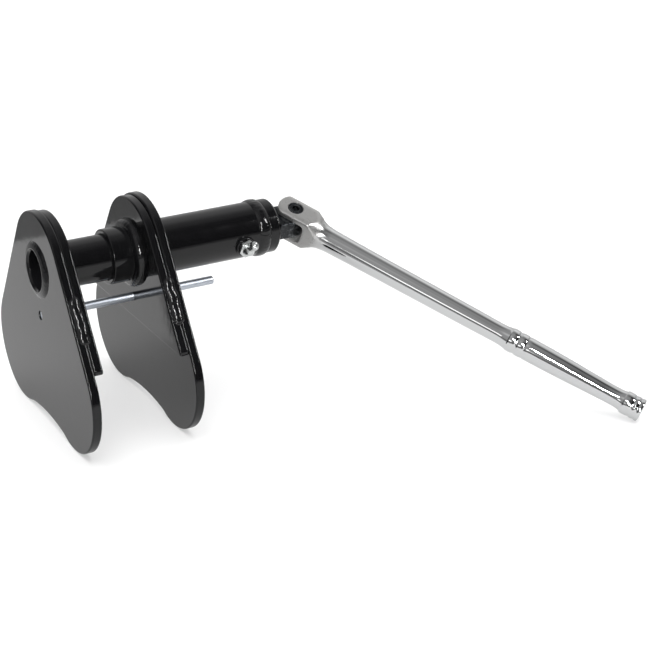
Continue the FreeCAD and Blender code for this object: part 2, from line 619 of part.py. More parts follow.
def on_grease_point(tilt="0", height="0", along="0"):
    """Placement with +Z straight out of the greasing point, or tilted up from there, with the
    whole fitting turned about that direction."""
    return ("create(<<placement>>; create(<<vector>>; front_face + grease_station; axis_side; "
            "axis_height); create(<<rotation>>; create(<<vector>>; 1; 0; 0); 90 + grease_angle)) "
            "* create(<<placement>>; create(<<vector>>; 0; 0; outer_tube_dia / 2 + %s); "
            "create(<<rotation>>; create(<<vector>>; 0; 0; 1); fitting_turn)) "
            "* create(<<placement>>; create(<<vector>>; 0; 0; 0); "
            "create(<<rotation>>; create(<<vector>>; 1; 0; 0); -(%s))) "
            "* create(<<placement>>; create(<<vector>>; 0; 0; %s); "
            "create(<<rotation>>; create(<<vector>>; 1; 0; 0); 0))" % (height, tilt, along))


def on_boss(kind, name, expressions, tilt="0", height="0", along="0"):
    solid = local(kind, name, expressions)
    return bind(solid, {"Placement": on_grease_point(tilt, height, along)})


def grease_point():
    post = on_boss("Part::Cylinder", "grease_boss_post",
                   {"Radius": "boss_dia / 2", "Height": "boss_rise + 3"}, height="-3")
    tube = rod("grease_boss_saddle", "outer_tube_dia", "boss_dia + 4",
               "grease_station - boss_dia / 2 - 2")
    channel = grease_way("grease_boss_channel", "grease_hole", "outer_tube_bore / 2",
                         "outer_tube_dia / 2 + boss_rise + 2")
    keep(cut("grease_boss", post, group("grease_boss_cuts", [tube, channel])))
    hexagon = on_boss("Part::Prism", "grease_fitting_hex",
                      {"Circumradius": "fitting_hex / 2 / cos(30)",
                       "Height": "fitting_hex_height"}, height="boss_rise")
    elbow_at = "boss_rise + fitting_hex_height + elbow_rise / 2"
    riser = on_boss("Part::Cylinder", "grease_fitting_riser",
                    {"Radius": "elbow_dia / 2", "Height": "elbow_rise / 2 + 1"},
                    height="boss_rise + fitting_hex_height - 1")
    elbow = on_boss("Part::Sphere", "grease_fitting_elbow", {"Radius": "elbow_dia / 2"},
                    height=elbow_at)
    neck = on_boss("Part::Cylinder", "grease_fitting_neck",
                   {"Radius": "nipple_neck_dia / 2", "Height": "nipple_length"},
                   "fitting_tilt", elbow_at)
    head = on_boss("Part::Cylinder", "grease_fitting_head",
                   {"Radius": "nipple_head_dia / 2", "Height": "nipple_head_length"},
                   "fitting_tilt", elbow_at, "nipple_length - nipple_head_length")
    mouth = on_boss("Part::Cylinder", "grease_fitting_mouth",
                    {"Radius": "nipple_mouth / 2", "Height": "nipple_head_length"},
                    "fitting_tilt", elbow_at, "nipple_length - mouth_depth")
    way = on_boss("Part::Cylinder", "grease_fitting_way",
                  {"Radius": "fitting_bore / 2", "Height": "fitting_hex_height + elbow_rise"},
                  height="boss_rise - cut_reach")
    solid = fuse("grease_fitting_blank", [hexagon, riser, elbow, neck, head])
    keep(cut("grease_fitting", solid, group("grease_fitting_cuts", [mouth, way])))


end_cap()
end_cap_weld()
grease_point()

# --- Flex handle: drive tang, yoke, pivot screw and friction plunger ---------------------------

TANG_PLACE = placed("pivot_station", "swing_roll", "0")
HANDLE_PLACE = placed("pivot_station", "swing_roll", "-bend_angle")


def block(name, first, last, width, thick, side="0"):
    """A box along the part's own X, centred across, from one station to the other."""
    return local("Part::Box", name, {
        "Length": "(%s) - (%s)" % (last, first), "Width": width, "Height": thick,
        "Placement.Base.x": first, "Placement.Base.y": "(%s) - (%s) / 2" % (side, width),
        "Placement.Base.z": "-(%s) / 2" % thick})


def bar_along(name, diameter, first, last):
    bar = local("Part::Cylinder", name, {"Radius": "(%s) / 2" % diameter,
                "Height": "(%s) - (%s)" % (last, first)}, ALONG_X)
    return bind(bar, {"Placement.Base.x": first})


def bar_up(name, diameter, first, last, station="0"):
    """A round bar along the part's own Z, which is the direction of the pivot."""
    return local("Part::Cylinder", name, {"Radius": "(%s) / 2" % diameter,
                 "Height": "(%s) - (%s)" % (last, first), "Placement.Base.x": station,
                 "Placement.Base.z": first})


def drive_tang():
    square = block("drive_tang_square", "tang_tip", "shoulder_start + 1", "tang_width",
                   "tang_width")
    tip = size("tang_tip")

    def at_tip(edge):
        return all(abs(point.Point.x - tip) < 0.01 for point in edge.Vertexes)
    edged = dressed("Part::Chamfer", "drive_tang_edged", square, size("tang_chamfer"), at_tip)
    shoulder = bar_along("drive_tang_shoulder", "shoulder_dia", "shoulder_start",
                         "shoulder_end")
    neck = block("drive_tang_neck", "shoulder_end - 0.5", "0", "knuckle_width",
                 "knuckle_thick")
    knuckle = bar_up("drive_tang_knuckle", "knuckle_width", "-knuckle_thick / 2",
                     "knuckle_thick / 2")
    bore = bar_up("drive_tang_bore", "knuckle_bore", "-knuckle_thick", "knuckle_thick")
    detent = bar_up("drive_tang_detent", "detent_hole_dia", "detent_hole_floor", "tang_width",
                    "detent_station")
    solid = fuse("drive_tang_blank", [edged, shoulder, neck, knuckle])
    tang = cut("drive_tang", solid, group("drive_tang_cuts", [bore, detent]))
    keep(bind(tang, {"Placement": TANG_PLACE}))
    ball = local("Part::Sphere", "detent_ball", {"Radius": "detent_ball_dia / 2", "Placement":
                 placed("pivot_station", "swing_roll", "0", "detent_station", "0",
                        "tang_width / 2 - detent_ball_dia / 2 - pin_play")})
    keep(ball)
    spring = cut("detent_spring",
                 bar_up("detent_spring_coil", "detent_spring_dia", "detent_hole_floor + pin_play",
                        "tang_width / 2 - detent_ball_dia - 2 * pin_play", "detent_station"),
                 bar_up("detent_spring_inside", "detent_spring_bore", "0", "tang_width",
                        "detent_station"))
    keep(bind(spring, {"Placement": TANG_PLACE}))


def handle_profile():
    """The turned blank of the handle, from its sketched outline."""
    body = doc.addObject("PartDesign::Body", "handle_blank")
    sketch = body.newObject("Sketcher::SketchObject", "handle_outline")
    sketch.AttachmentSupport = [(origin_plane(body, "XY_Plane"), "")]
    sketch.MapMode = "FlatFace"
    corners = [FreeCAD.Vector(station, diameter / 2, 0) for station, diameter in HANDLE_OUTLINE]
    corners = [FreeCAD.Vector(corners[0].x, 0, 0)] + corners
    corners.append(FreeCAD.Vector(corners[-1].x, 0, 0))
    lines = [sketch.addGeometry(Part.LineSegment(first, last))
             for first, last in zip(corners, corners[1:] + corners[:1])]
    for first, last in zip(lines, lines[1:] + lines[:1]):
        sketch.addConstraint(Sketcher.Constraint("Coincident", first, 2, last, 1))
    sketch.addConstraint(Sketcher.Constraint("Vertical", lines[0]))
    sketch.addConstraint(Sketcher.Constraint("Vertical", lines[-2]))
    sketch.addConstraint(Sketcher.Constraint("PointOnObject", lines[-1], 1, -1))
    sketch.addConstraint(Sketcher.Constraint("PointOnObject", lines[-1], 2, -1))
    for number, (station, diameter) in enumerate(HANDLE_OUTLINE):
        constrain(sketch, "at_%d" % number, "outline_station_%d" % number, "DistanceX",
                  -1, 1, lines[number], 2, station)
        constrain(sketch, "half_%d" % number, "outline_diameter_%d / 2" % number, "DistanceY",
                  -1, 1, lines[number], 2, diameter / 2)
    turned = body.newObject("PartDesign::Revolution", "handle_turned")
    turned.Profile = sketch
    turned.ReferenceAxis = (sketch, ["H_Axis"])
    turned.Angle = 360
    doc.recompute()
    return body


def handle_bar():
    rings = []
    for number, (station, diameter) in enumerate(GRIP_RINGS):
        bead = local("Part::Torus", "grip_ring_%d" % number, {"Placement.Base.x": "%s" % station},
                     ALONG_X)
        bead.Radius2 = RING_ROUND
        bead.Radius1 = diameter / 2 - RING_ROUND
        rings.append(bead)
    turned = fuse("handle_rings", [handle_profile()] + rings)
    yoke = block("yoke_block", "0", "yoke_length", "yoke_width", "yoke_thick")
    ears = common("yoke_ears", [
        bar_up("yoke_round", "2 * ear_radius", "-yoke_thick / 2", "yoke_thick / 2"),
        block("yoke_sides", "-ear_radius", "1", "yoke_width", "yoke_thick")])
    shaft = block("handle_shaft", "yoke_length - 1", "shaft_reach", "shaft_girth", "shaft_girth")
    envelope = fuse("handle_envelope", [yoke, ears, shaft])
    shaped = common("handle_shaped", [turned, envelope])
    opening = block("yoke_opening", "-2 * ear_radius", "slot_root", "2 * ear_radius",
                    "slot_width")
    root = size("slot_root")

    def at_root(edge):
        level = all(abs(point.Point.x - root) < 0.01 for point in edge.Vertexes)
        return level and abs(edge.Length - 2 * size("ear_radius")) < 0.01
    slot = dressed("Part::Fillet", "yoke_slot", opening, size("slot_round"), at_root)
    half = "yoke_thick / 2"
    recess = bar_up("yoke_recess", "pivot_head_dia + 0.1",
                    "%s - pivot_head_thick - pivot_head_recess" % half, half + " + 1")
    top_hole = bar_up("yoke_top_hole", "pivot_dia + 0.1", "0", "yoke_thick")
    low_hole = bar_up("yoke_low_hole", "pivot_dia + 0.02", "-yoke_thick", "0")
    plunger = bar_along("yoke_plunger_hole", "plunger_dia + 0.06", "slot_root - 1",
                        "plunger_hole_end")
    bar = cut("handle_bar", shaped,
              group("handle_cuts", [slot, recess, top_hole, low_hole, plunger]))
    keep(bind(bar, {"Placement": HANDLE_PLACE}))


def pivot_screw():
    top = "yoke_thick / 2 - pivot_head_recess"
    head = bar_up("pivot_screw_head", "pivot_head_dia", top + " - pivot_head_thick", top)
    shank = bar_up("pivot_screw_shank", "pivot_dia", "-yoke_thick / 2 + 0.3", "0.5 + (%s) - "
                   "pivot_head_thick" % top)
    key = local("Part::Prism", "pivot_screw_key", {
        "Circumradius": "pivot_hex / 2 / cos(30)", "Height": "pivot_hex_depth + 1",
        "Placement.Base.z": top + " - pivot_hex_depth"})
    screw = cut("pivot_screw", fuse("pivot_screw_blank", [head, shank]), key)
    keep(bind(screw, {"Placement": HANDLE_PLACE}))


def flex_plunger():
    pin = bar_along("flex_plunger_pin", "plunger_dia", "plunger_start",
                    "plunger_start + plunger_length")
    start = size("plunger_start")

    def tip(edge):
        return all(abs(point.Point.x - start) < 0.01 for point in edge.Vertexes)
    plunger = dressed("Part::Fillet", "flex_plunger", pin,
                      size("plunger_round"), tip)
    keep(bind(plunger, {"Placement": HANDLE_PLACE}))
    spring = cut("flex_spring",
                 bar_along("flex_spring_coil", "flex_spring_dia",
                           "plunger_start + plunger_length + ring_play",
                           "plunger_hole_end - ring_play"),
                 bar_along("flex_spring_inside", "flex_spring_bore", "plunger_start",
                           "plunger_hole_end + 1"))
    keep(bind(spring, {"Placement": HANDLE_PLACE}))


drive_tang()
handle_bar()
pivot_screw()
flex_plunger()

# --- Check and write ---------------------------------------------------------------------------

doc.recompute()
for thing in doc.Objects:
    if "Invalid" in thing.State or "Error" in thing.State:
        raise RuntimeError("%s is %s" % (thing.Name, thing.State))
for piece in PARTS:
    if piece.Shape.isNull() or not piece.Shape.isValid() or not piece.Shape.Solids:
        raise RuntimeError("%s has no valid solid" % piece.Label)

os.makedirs("parts", exist_ok=True)
for piece in PARTS:
    piece.Shape.exportStep("parts/%s.step" % piece.Label)
    print("%-22s solids %2d  volume %9.1f mm3"
          % (piece.Label, len(piece.Shape.Solids), piece.Shape.Volume))
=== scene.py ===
import json
from math import acos, asin, atan2, cos, hypot, pi, radians, sin, tan

import bmesh
import bpy
import numpy as np
from mathutils import Matrix, Vector, noise


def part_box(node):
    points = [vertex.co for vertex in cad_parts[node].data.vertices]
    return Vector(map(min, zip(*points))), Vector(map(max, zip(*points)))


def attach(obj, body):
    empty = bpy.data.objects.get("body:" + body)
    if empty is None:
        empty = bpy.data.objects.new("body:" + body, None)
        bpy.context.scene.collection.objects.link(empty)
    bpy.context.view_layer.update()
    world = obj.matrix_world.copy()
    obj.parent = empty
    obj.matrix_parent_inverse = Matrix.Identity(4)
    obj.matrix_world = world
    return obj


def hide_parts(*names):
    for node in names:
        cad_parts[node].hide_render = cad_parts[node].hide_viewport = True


# The looks of a coil spring compressor: glossy black jaws and tubes, rippled welds, a zinc
# guide rod and a chromed flex handle. Shapes are worked out in millimetres. Stations count
# along the screw's axis from the front jaw's outer face. The handle and the tang have frames
# of their own, with the pivot as origin, X along the part and Z along the pivot screw.

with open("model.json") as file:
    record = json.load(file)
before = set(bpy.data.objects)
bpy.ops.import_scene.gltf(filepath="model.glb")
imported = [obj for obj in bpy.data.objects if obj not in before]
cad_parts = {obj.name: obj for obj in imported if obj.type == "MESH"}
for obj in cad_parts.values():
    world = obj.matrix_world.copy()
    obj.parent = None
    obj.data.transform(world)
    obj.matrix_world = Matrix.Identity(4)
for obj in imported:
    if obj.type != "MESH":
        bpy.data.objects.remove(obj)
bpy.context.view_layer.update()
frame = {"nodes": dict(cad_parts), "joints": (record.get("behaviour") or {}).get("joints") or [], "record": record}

MM = 0.001
TAU = 2 * pi

# Sizes that the frame's boxes don't give, in millimetres, as the design has them. A drop is a
# depth below the screw's axis.
PLATE_THICK, PLATE_ROUND = 6.35, 1.2
CROWN_RADIUS, CROWN_DROP, DOUBLER_CROWN = 41.5, 1.8, 40.4
FOOT_RADIUS, FOOT_OFFSET, FOOT_DROP = 40.4, 46.2, 72.0
ARCH_RADIUS, ARCH_DROP = 158.0, 106.1
DOUBLER_DROP, DOUBLER_CORNER = 48.0, 2.5
ROD_RADIUS, ROD_DROP = 3.0, 32.7
INNER_RADIUS, INNER_BORE, OUTER_RADIUS, OUTER_BORE = 15.875, 13.475, 19.05, 15.955
CAP_BORE, CAP_GAP = 11.58, 0.03
SCREW_RADIUS, THREAD_PITCH, THREAD_DEPTH, THREAD_END = 9.4, 2.54, 1.45, 134.0
HUB_RADIUS, SOCKET_HALF, SOCKET_DEPTH = 11.5, 6.4, 13.0
GREASE_STATION, GREASE_ANGLE, BOSS_RADIUS, BOSS_RISE = 144.9, 14.0, 7.25, 1.6


# --- Where things are ---

def span(node):
    """Where a node starts and ends along the screw's axis, from the front jaw's outer face."""
    return [(corner.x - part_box("front_jaw_plate")[0].x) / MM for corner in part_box(node)]


tube_low, tube_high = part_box("outer_tube")
ORIGIN = Vector((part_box("front_jaw_plate")[0].x, (tube_low.y + tube_high.y) / 2,
                 (tube_low.z + tube_high.z) / 2))
AXIS_FRAME = Matrix.Translation(ORIGIN) @ Matrix.Scale(MM, 4)
ROD_FRAME = AXIS_FRAME @ Matrix.Translation((0, 0, -ROD_DROP))
flex = next(joint for joint in frame["joints"] if joint["name"] == "handle_flex")
PIVOT = Vector(flex["pos_m"])
ROLL = atan2(-flex["axis"][1], flex["axis"][2])
# The joint's limits lie evenly about the straight line, so their middle gives the bend.
BEND = radians(sum(flex["range_deg"]) / 2)
TANG_FRAME = Matrix.Translation(PIVOT) @ Matrix.Rotation(ROLL, 4, "X") @ Matrix.Scale(MM, 4)
HANDLE_FRAME = (Matrix.Translation(PIVOT) @ Matrix.Rotation(ROLL, 4, "X")
                @ Matrix.Rotation(-BEND, 4, "Z") @ Matrix.Scale(MM, 4))
GREASE_FRAME = (AXIS_FRAME @ Matrix.Translation((GREASE_STATION, 0, 0))
                @ Matrix.Rotation(radians(90 + GREASE_ANGLE), 4, "X")
                @ Matrix.Translation((0, 0, OUTER_RADIUS)))


# --- Materials ---

class Nodes:
    """A short way to write the node tree of a material or of the world."""

    def __init__(self, owner, shader="Principled BSDF", place="Object"):
        owner.use_nodes = True
        self.owner, self.tree = owner, owner.node_tree
        self.shader = self.tree.nodes[shader]
        self.place = self.add("ShaderNodeTexCoord").outputs[place]

    def add(self, kind, **values):
        """A node with its settings or inputs set by name."""
        node = self.tree.nodes.new(kind)
        for key, value in values.items():
            if hasattr(node, key):
                setattr(node, key, value)
            else:
                node.inputs[key.replace("_", " ")].default_value = value
        return node

    def link(self, source, target):
        self.tree.links.new(source, target)

    def set(self, **values):
        for key, value in values.items():
            self.shader.inputs[key.replace("_", " ")].default_value = value

    def noise(self, scale, detail=2.0, stretch=None, rough=0.5):
        """Noise over the object's own coordinates, with so many grains in a metre."""
        texture = self.add("ShaderNodeTexNoise", Scale=scale, Detail=detail, Roughness=rough)
        if stretch is None:
            self.link(self.place, texture.inputs["Vector"])
        else:
            mapping = self.add("ShaderNodeMapping")
            mapping.inputs["Scale"].default_value = stretch
            self.link(self.place, mapping.inputs["Vector"])
            self.link(mapping.outputs[0], texture.inputs["Vector"])
        return texture.outputs["Fac"]

    def ramp(self, source, low, high, first=0.3, last=0.7):
        """The source between first and last, spread from low to high."""
        node = self.add("ShaderNodeMapRange", From_Min=first, From_Max=last, To_Min=low,
                        To_Max=high)
        self.link(source, node.inputs["Value"])
        return node.outputs["Result"]

    def colour(self, factor, first, last):
        """The base colour, from first to last as the factor goes from 0 to 1."""
        node = self.add("ShaderNodeMix", data_type="RGBA")
        node.inputs["A"].default_value = (*first, 1)
        node.inputs["B"].default_value = (*last, 1)
        self.link(factor, node.inputs["Factor"])
        self.link(node.outputs["Result"], self.shader.inputs["Base Color"])

    def roughness(self, source, low, high):
        self.link(self.ramp(source, low, high), self.shader.inputs["Roughness"])

    def bump(self, *layers):
        """Bump from (height, distance in metres, strength) layers, one over the other."""
        last = None
        for height, distance, strength in layers:
            node = self.add("ShaderNodeBump", Distance=distance, Strength=strength)
            self.link(height, node.inputs["Height"])
            if last is not None:
                self.link(last, node.inputs["Normal"])
            last = node.outputs["Normal"]
        self.link(last, self.shader.inputs["Normal"])


def new_material(name, **values):
    made = Nodes(bpy.data.materials.new(name))
    made.set(**values)
    return made


def black_enamel():
    """Wet-looking black paint with a faint orange peel and a few dull patches."""
    made = new_material("black_enamel", Metallic=0.0, IOR=1.42)
    made.colour(made.noise(45, 3), (0.004, 0.004, 0.0045), (0.007, 0.007, 0.0078))
    made.roughness(made.noise(90, 4), 0.045, 0.11)
    made.bump((made.noise(650, 2), 0.0002, 0.06), (made.noise(120, 1), 0.001, 0.03))
    return made.owner


def weld_enamel():
    """The same paint over weld beads, a little rougher."""
    made = new_material("weld_enamel", Metallic=0.0, IOR=1.42)
    made.colour(made.noise(300, 3), (0.004, 0.004, 0.0045), (0.01, 0.01, 0.011))
    made.roughness(made.noise(400, 3), 0.05, 0.16)
    made.bump((made.noise(1300, 3), 0.0003, 0.08))
    return made.owner


def zinc_bar():
    """Bright zinc on drawn bar: bluish, with fine lines along it."""
    made = new_material("zinc_bar", Metallic=1.0)
    lines = made.noise(900, 3, stretch=(0.04, 1, 1))
    made.colour(made.noise(160, 3), (0.42, 0.455, 0.51), (0.60, 0.63, 0.68))
    made.roughness(lines, 0.3, 0.48)
    made.bump((lines, 0.0002, 0.15))
    return made.owner


def zinc_fitting():
    """Brighter zinc, less blue, on the small grease fitting."""
    made = new_material("zinc_fitting", Metallic=1.0)
    made.colour(made.noise(500, 3), (0.52, 0.54, 0.54), (0.68, 0.69, 0.68))
    made.roughness(made.noise(900, 3), 0.14, 0.3)
    made.bump((made.noise(1500, 3), 0.0002, 0.1))
    return made.owner


def handle_chrome():
    """Chrome plate: mirror bright on the turned shaft, satin over the blasted yoke."""
    made = new_material("handle_chrome", Metallic=1.0)
    satin = made.add("ShaderNodeAttribute", attribute_name="satin").outputs["Fac"]
    grain = made.noise(1400, 4)
    rough = made.add("ShaderNodeMix", data_type="FLOAT")
    made.link(satin, rough.inputs["Factor"])
    made.link(made.ramp(made.noise(60, 3), 0.03, 0.06), rough.inputs["A"])
    made.link(made.ramp(grain, 0.26, 0.38), rough.inputs["B"])
    made.link(rough.outputs["Result"], made.shader.inputs["Roughness"])
    made.colour(satin, (0.62, 0.625, 0.63), (0.47, 0.467, 0.46))
    made.link(made.ramp(satin, 1.0, 0.88, 0, 1), made.shader.inputs["Metallic"])
    height = made.add("ShaderNodeMath", operation="MULTIPLY")
    made.link(grain, height.inputs[0])
    made.link(satin, height.inputs[1])
    made.bump((height.outputs[0], 0.0002, 0.12), (made.noise(25, 2), 0.002, 0.02))
    return made.owner


def black_oxide():
    """Blackened steel, rubbed grey in patches."""
    made = new_material("black_oxide", Metallic=0.85)
    wear = made.ramp(made.noise(230, 5, rough=0.65), 0, 1, 0.5, 0.75)
    made.colour(wear, (0.022, 0.024, 0.027), (0.16, 0.17, 0.175))
    made.roughness(made.noise(500, 4), 0.22, 0.45)
    made.bump((made.noise(1100, 4), 0.0003, 0.2))
    return made.owner


def greased_steel():
    """Machined steel under a film of amber grease."""
    made = new_material("greased_steel", Metallic=1.0)
    film = made.ramp(made.noise(120, 4), 0, 1, 0.42, 0.6)
    made.colour(film, (0.42, 0.41, 0.40), (0.17, 0.12, 0.06))
    made.roughness(made.noise(260, 3), 0.12, 0.34)
    made.bump((made.noise(500, 3), 0.0004, 0.2))
    return made.owner


def ground_steel(name, tone, low, high):
    """Hardened steel, ground or drawn, with a fine grain and that range of roughness."""
    made = new_material(name, Metallic=1.0)
    made.colour(made.noise(350, 3), tuple(0.85 * part for part in tone), tone)
    made.roughness(made.noise(1200, 3), low, high)
    made.bump((made.noise(2000, 2), 0.0001, 0.08))
    return made.owner


MATERIALS = {
    "jaw_enamel": black_enamel(),
    "weld_enamel": weld_enamel(),
    "zinc_rod": zinc_bar(),
    "zinc_fitting": zinc_fitting(),
    "handle_chrome": handle_chrome(),
    "black_oxide": black_oxide(),
    "greased_steel": greased_steel(),
    "bearing_steel": ground_steel("bearing_steel", (0.72, 0.72, 0.73), 0.06, 0.14),
    "spring_steel": ground_steel("spring_steel", (0.46, 0.46, 0.47), 0.2, 0.35),
}
MATERIALS["tube_enamel"] = MATERIALS["jaw_enamel"]
SLOT_OF = {part["node"]: part["material_slot"] for part in frame["record"]["subparts"]}
BODY_OF = {node: body for body, nodes in frame["record"]["behaviour"]["bodies"].items()
           for node in nodes}
for node_name, node in frame["nodes"].items():
    node.data.materials.clear()
    node.data.materials.append(MATERIALS[SLOT_OF[node_name]])


# --- Making pieces ---

SHARP = radians(32)


def new_object(name, data):
    thing = bpy.data.objects.new(name, data)
    bpy.context.scene.collection.objects.link(thing)
    return thing


def new_piece(name, node, vertices, faces, matrix, normals=None):
    """A piece from millimetre geometry, standing for a CAD node and riding on its body."""
    mesh = bpy.data.meshes.new(name)
    mesh.from_pydata([tuple(point) for point in vertices], [], [tuple(face) for face in faces])
    mesh.transform(matrix)
    mesh.validate()
    mesh.shade_smooth()
    mesh.set_sharp_from_angle(angle=SHARP)
    if normals is not None:
        turned = np.asarray(normals) @ np.asarray(matrix.to_3x3().normalized()).T
        mesh.normals_split_custom_set_from_vertices([tuple(normal) for normal in turned])
    piece = new_object(name, mesh)
    mesh.materials.append(MATERIALS[SLOT_OF[node]])
    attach(piece, BODY_OF[node])
    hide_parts(node)
    return piece


def shell_piece(name, node, shell, matrix):
    return new_piece(name, node, shell.vertices, shell.faces, matrix)


def weighted(piece):
    """Keeps large flat faces flat in the shading, beside their small rounded edges."""
    modifier = piece.modifiers.new("weighted_normals", "WEIGHTED_NORMAL")
    modifier.keep_sharp = True


def on_circle(x, radius, turn):
    """The point at a station, that far from the X axis and turned round it."""
    return (x, radius * cos(turn), radius * sin(turn))


def circle(x, radius, count):
    return [on_circle(x, radius, TAU * n / count) for n in range(count)]


class Shell:
    """Vertices and faces gathered from turned, swept and filled parts."""

    def __init__(self):
        self.vertices, self.faces = [], []

    def add(self, vertices, faces):
        start = len(self.vertices)
        self.vertices.extend(vertices)
        self.faces.extend([tuple(start + index for index in face) for face in faces])

    def turned(self, profile, count, closed=True):
        """Turns (station, radius) points about X. A point on the axis closes the end."""
        vertices, rings = [], []
        for x, radius in profile:
            if radius == 0:
                rings.append([len(vertices)] * count)
                vertices.append((x, 0.0, 0.0))
            else:
                rings.append(list(range(len(vertices), len(vertices) + count)))
                vertices.extend(circle(x, radius, count))
        self.add(vertices, joined(rings, closed))
        return self

    def swept(self, loops, closed=False):
        """Joins closed loops of points one after another, and fills the two end loops."""
        count = len(loops[0])
        vertices = [point for loop in loops for point in loop]
        rings = [list(range(count * n, count * (n + 1))) for n in range(len(loops))]
        faces = joined(rings, closed)
        if not closed:
            faces += [tuple(reversed(rings[0])), tuple(rings[-1])]
        self.add(vertices, faces)
        return self


def joined(rings, closed):
    """Faces between neighbouring rings of vertex numbers, and from last to first if closed."""
    faces = []
    for first, last in zip(rings, rings[1:] + rings[:1] if closed else rings[1:]):
        for step in range(len(first)):
            after = (step + 1) % len(first)
            corners = (first[step], first[after], last[after], last[step])
            kept = [corner for n, corner in enumerate(corners) if corner != corners[n - 1]]
            if len(kept) > 2:
                faces.append(tuple(kept))
    return faces


def rounded(points, steps=5, closed=True):
    """A polygon of (x, y, rounding) points with each corner replaced by a short curve."""
    most_of_side = 0.45
    result = []
    count = len(points)
    for number, (x, y, rounding) in enumerate(points):
        corner = Vector((x, y))
        at_end = not closed and number in (0, count - 1)
        if rounding <= 0 or at_end:
            result.append((x, y))
            continue
        before = Vector(points[number - 1][:2]) - corner
        after = Vector(points[(number + 1) % count][:2]) - corner
        reach = min(rounding / tan(before.angle(after) / 2),
                    most_of_side * before.length, most_of_side * after.length)
        first, last = corner + before.normalized() * reach, corner + after.normalized() * reach
        for step in range(steps + 1):
            part = step / steps
            point = first.lerp(corner, part).lerp(corner.lerp(last, part), part)
            result.append((point.x, point.y))
    return result


def curve_through(points, spacing):
    """Points along a smooth curve through (x, y) points, with no overshoot between them."""
    xs, ys = np.array(points, float).T
    slopes = np.diff(ys) / np.diff(xs)
    tangents = np.zeros(len(xs))
    for n in range(1, len(xs) - 1):
        if slopes[n - 1] * slopes[n] > 0:
            tangents[n] = 2 * slopes[n - 1] * slopes[n] / (slopes[n - 1] + slopes[n])
    result = []
    for n in range(len(slopes)):
        width = xs[n + 1] - xs[n]
        steps = max(2, round(width / spacing))
        for step in range(steps):
            t = step / steps
            result.append((xs[n] + t * width,
                           (1 + 2 * t) * (1 - t) ** 2 * ys[n] + t * (1 - t) ** 2 * width
                           * tangents[n] + t * t * (3 - 2 * t) * ys[n + 1]
                           + t * t * (t - 1) * width * tangents[n + 1]))
    result.append((xs[-1], ys[-1]))
    return result


# --- Solids from distance fields ---

# A solid is a function of points that gives distances from its surface, negative inside. It
# is felt this finely for its slope, and vertices take so many steps onto its surface.
NUDGE, SETTLING_ROUNDS, LEAST_SLOPE = 0.01, 4, 0.05


def united(first, last, reach):
    """Two solids as one, blended where their surfaces are within reach of each other."""
    part = np.clip(0.5 + 0.5 * (last - first) / reach, 0, 1)
    return last + (first - last) * part - reach * part * (1 - part)


def common(first, last, reach):
    """What two solids share, with the edge between them rounded."""
    return -united(-first, -last, reach)


def cut(solid, tool, reach):
    """The solid without the tool, its new edges rounded by about reach."""
    return common(solid, -tool, reach)


def slab(value, low, high):
    return np.maximum(low - value, value - high)


def hexagon(x, y, half, turn):
    """Distance from the flats of a hexagon, which are half away from its middle."""
    flats = [np.abs(x * cos(a) + y * sin(a)) for a in np.radians((turn, turn + 60, turn + 120))]
    return np.max(flats, axis=0) - half


def surface_of(field, low, high, step):
    """Vertices, quads and normals of the surface where the field is zero."""
    axes = [np.arange(low[n] - step, high[n] + 2 * step, step) for n in range(3)]
    grid = np.stack(np.meshgrid(*axes, indexing="ij"), -1)
    values = field(grid.reshape(-1, 3)).reshape(grid.shape[:3])
    vertices, numbers = cell_vertices(grid, values, step)
    vertices, normals = settled(field, vertices, step)
    return vertices, edge_quads(values < 0, numbers), normals


def cell_vertices(grid, values, step):
    """A vertex amid the crossings in each crossed cell, and the cells' vertex numbers."""
    inside = values < 0
    cells = tuple(size - 1 for size in values.shape)
    total, crossings = np.zeros(cells + (3,)), np.zeros(cells)

    def shifted(array, corner):
        return array[tuple(slice(corner[n], corner[n] + cells[n]) for n in range(3))]

    for first in np.ndindex(2, 2, 2):
        for axis in range(3):
            if first[axis]:
                continue
            last = tuple(1 if n == axis else first[n] for n in range(3))
            start, end = shifted(values, first), shifted(values, last)
            crossed = shifted(inside, first) != shifted(inside, last)
            part = np.where(crossed, start / np.where(crossed, start - end, 1), 0)
            point = shifted(grid, first).copy()
            point[..., axis] += part * step
            total += np.where(crossed[..., None], point, 0)
            crossings += crossed
    used = crossings > 0
    numbers = np.full(cells, -1)
    numbers[used] = np.arange(used.sum())
    return total[used] / crossings[used][:, None], numbers


def edge_quads(inside, numbers):
    """A quad over the four cells round each grid edge that the surface crosses."""
    cells = numbers.shape
    faces = []
    for axis in range(3):
        side, up = (axis + 1) % 3, (axis + 2) % 3
        one, two = [slice(None)] * 3, [slice(None)] * 3
        one[axis], two[axis] = slice(None, -1), slice(1, None)
        change = np.argwhere(inside[tuple(one)] != inside[tuple(two)])
        change = change[(change[:, side] > 0) & (change[:, up] > 0)]
        change = change[(change[:, side] < cells[side]) & (change[:, up] < cells[up])]
        quad = []
        for back_side, back_up in ((1, 1), (0, 1), (0, 0), (1, 0)):
            cell = change.copy()
            cell[:, side] -= back_side
            cell[:, up] -= back_up
            quad.append(numbers[tuple(cell.T)])
        quad = np.stack(quad, -1)
        outward = inside[tuple(change.T)]
        quad[~outward] = quad[~outward][:, ::-1]
        faces.append(quad)
    return np.concatenate(faces)


def settled(field, vertices, step):
    """The vertices moved onto the surface, and its normals there."""
    for _ in range(SETTLING_ROUNDS):
        slope = gradient(field, vertices)
        length = np.maximum((slope ** 2).sum(1), LEAST_SLOPE)
        move = slope * (field(vertices) / length)[:, None]
        vertices = vertices - np.clip(move, -0.5 * step, 0.5 * step)
    slope = gradient(field, vertices)
    return vertices, slope / np.maximum(np.linalg.norm(slope, axis=1), 1e-6)[:, None]


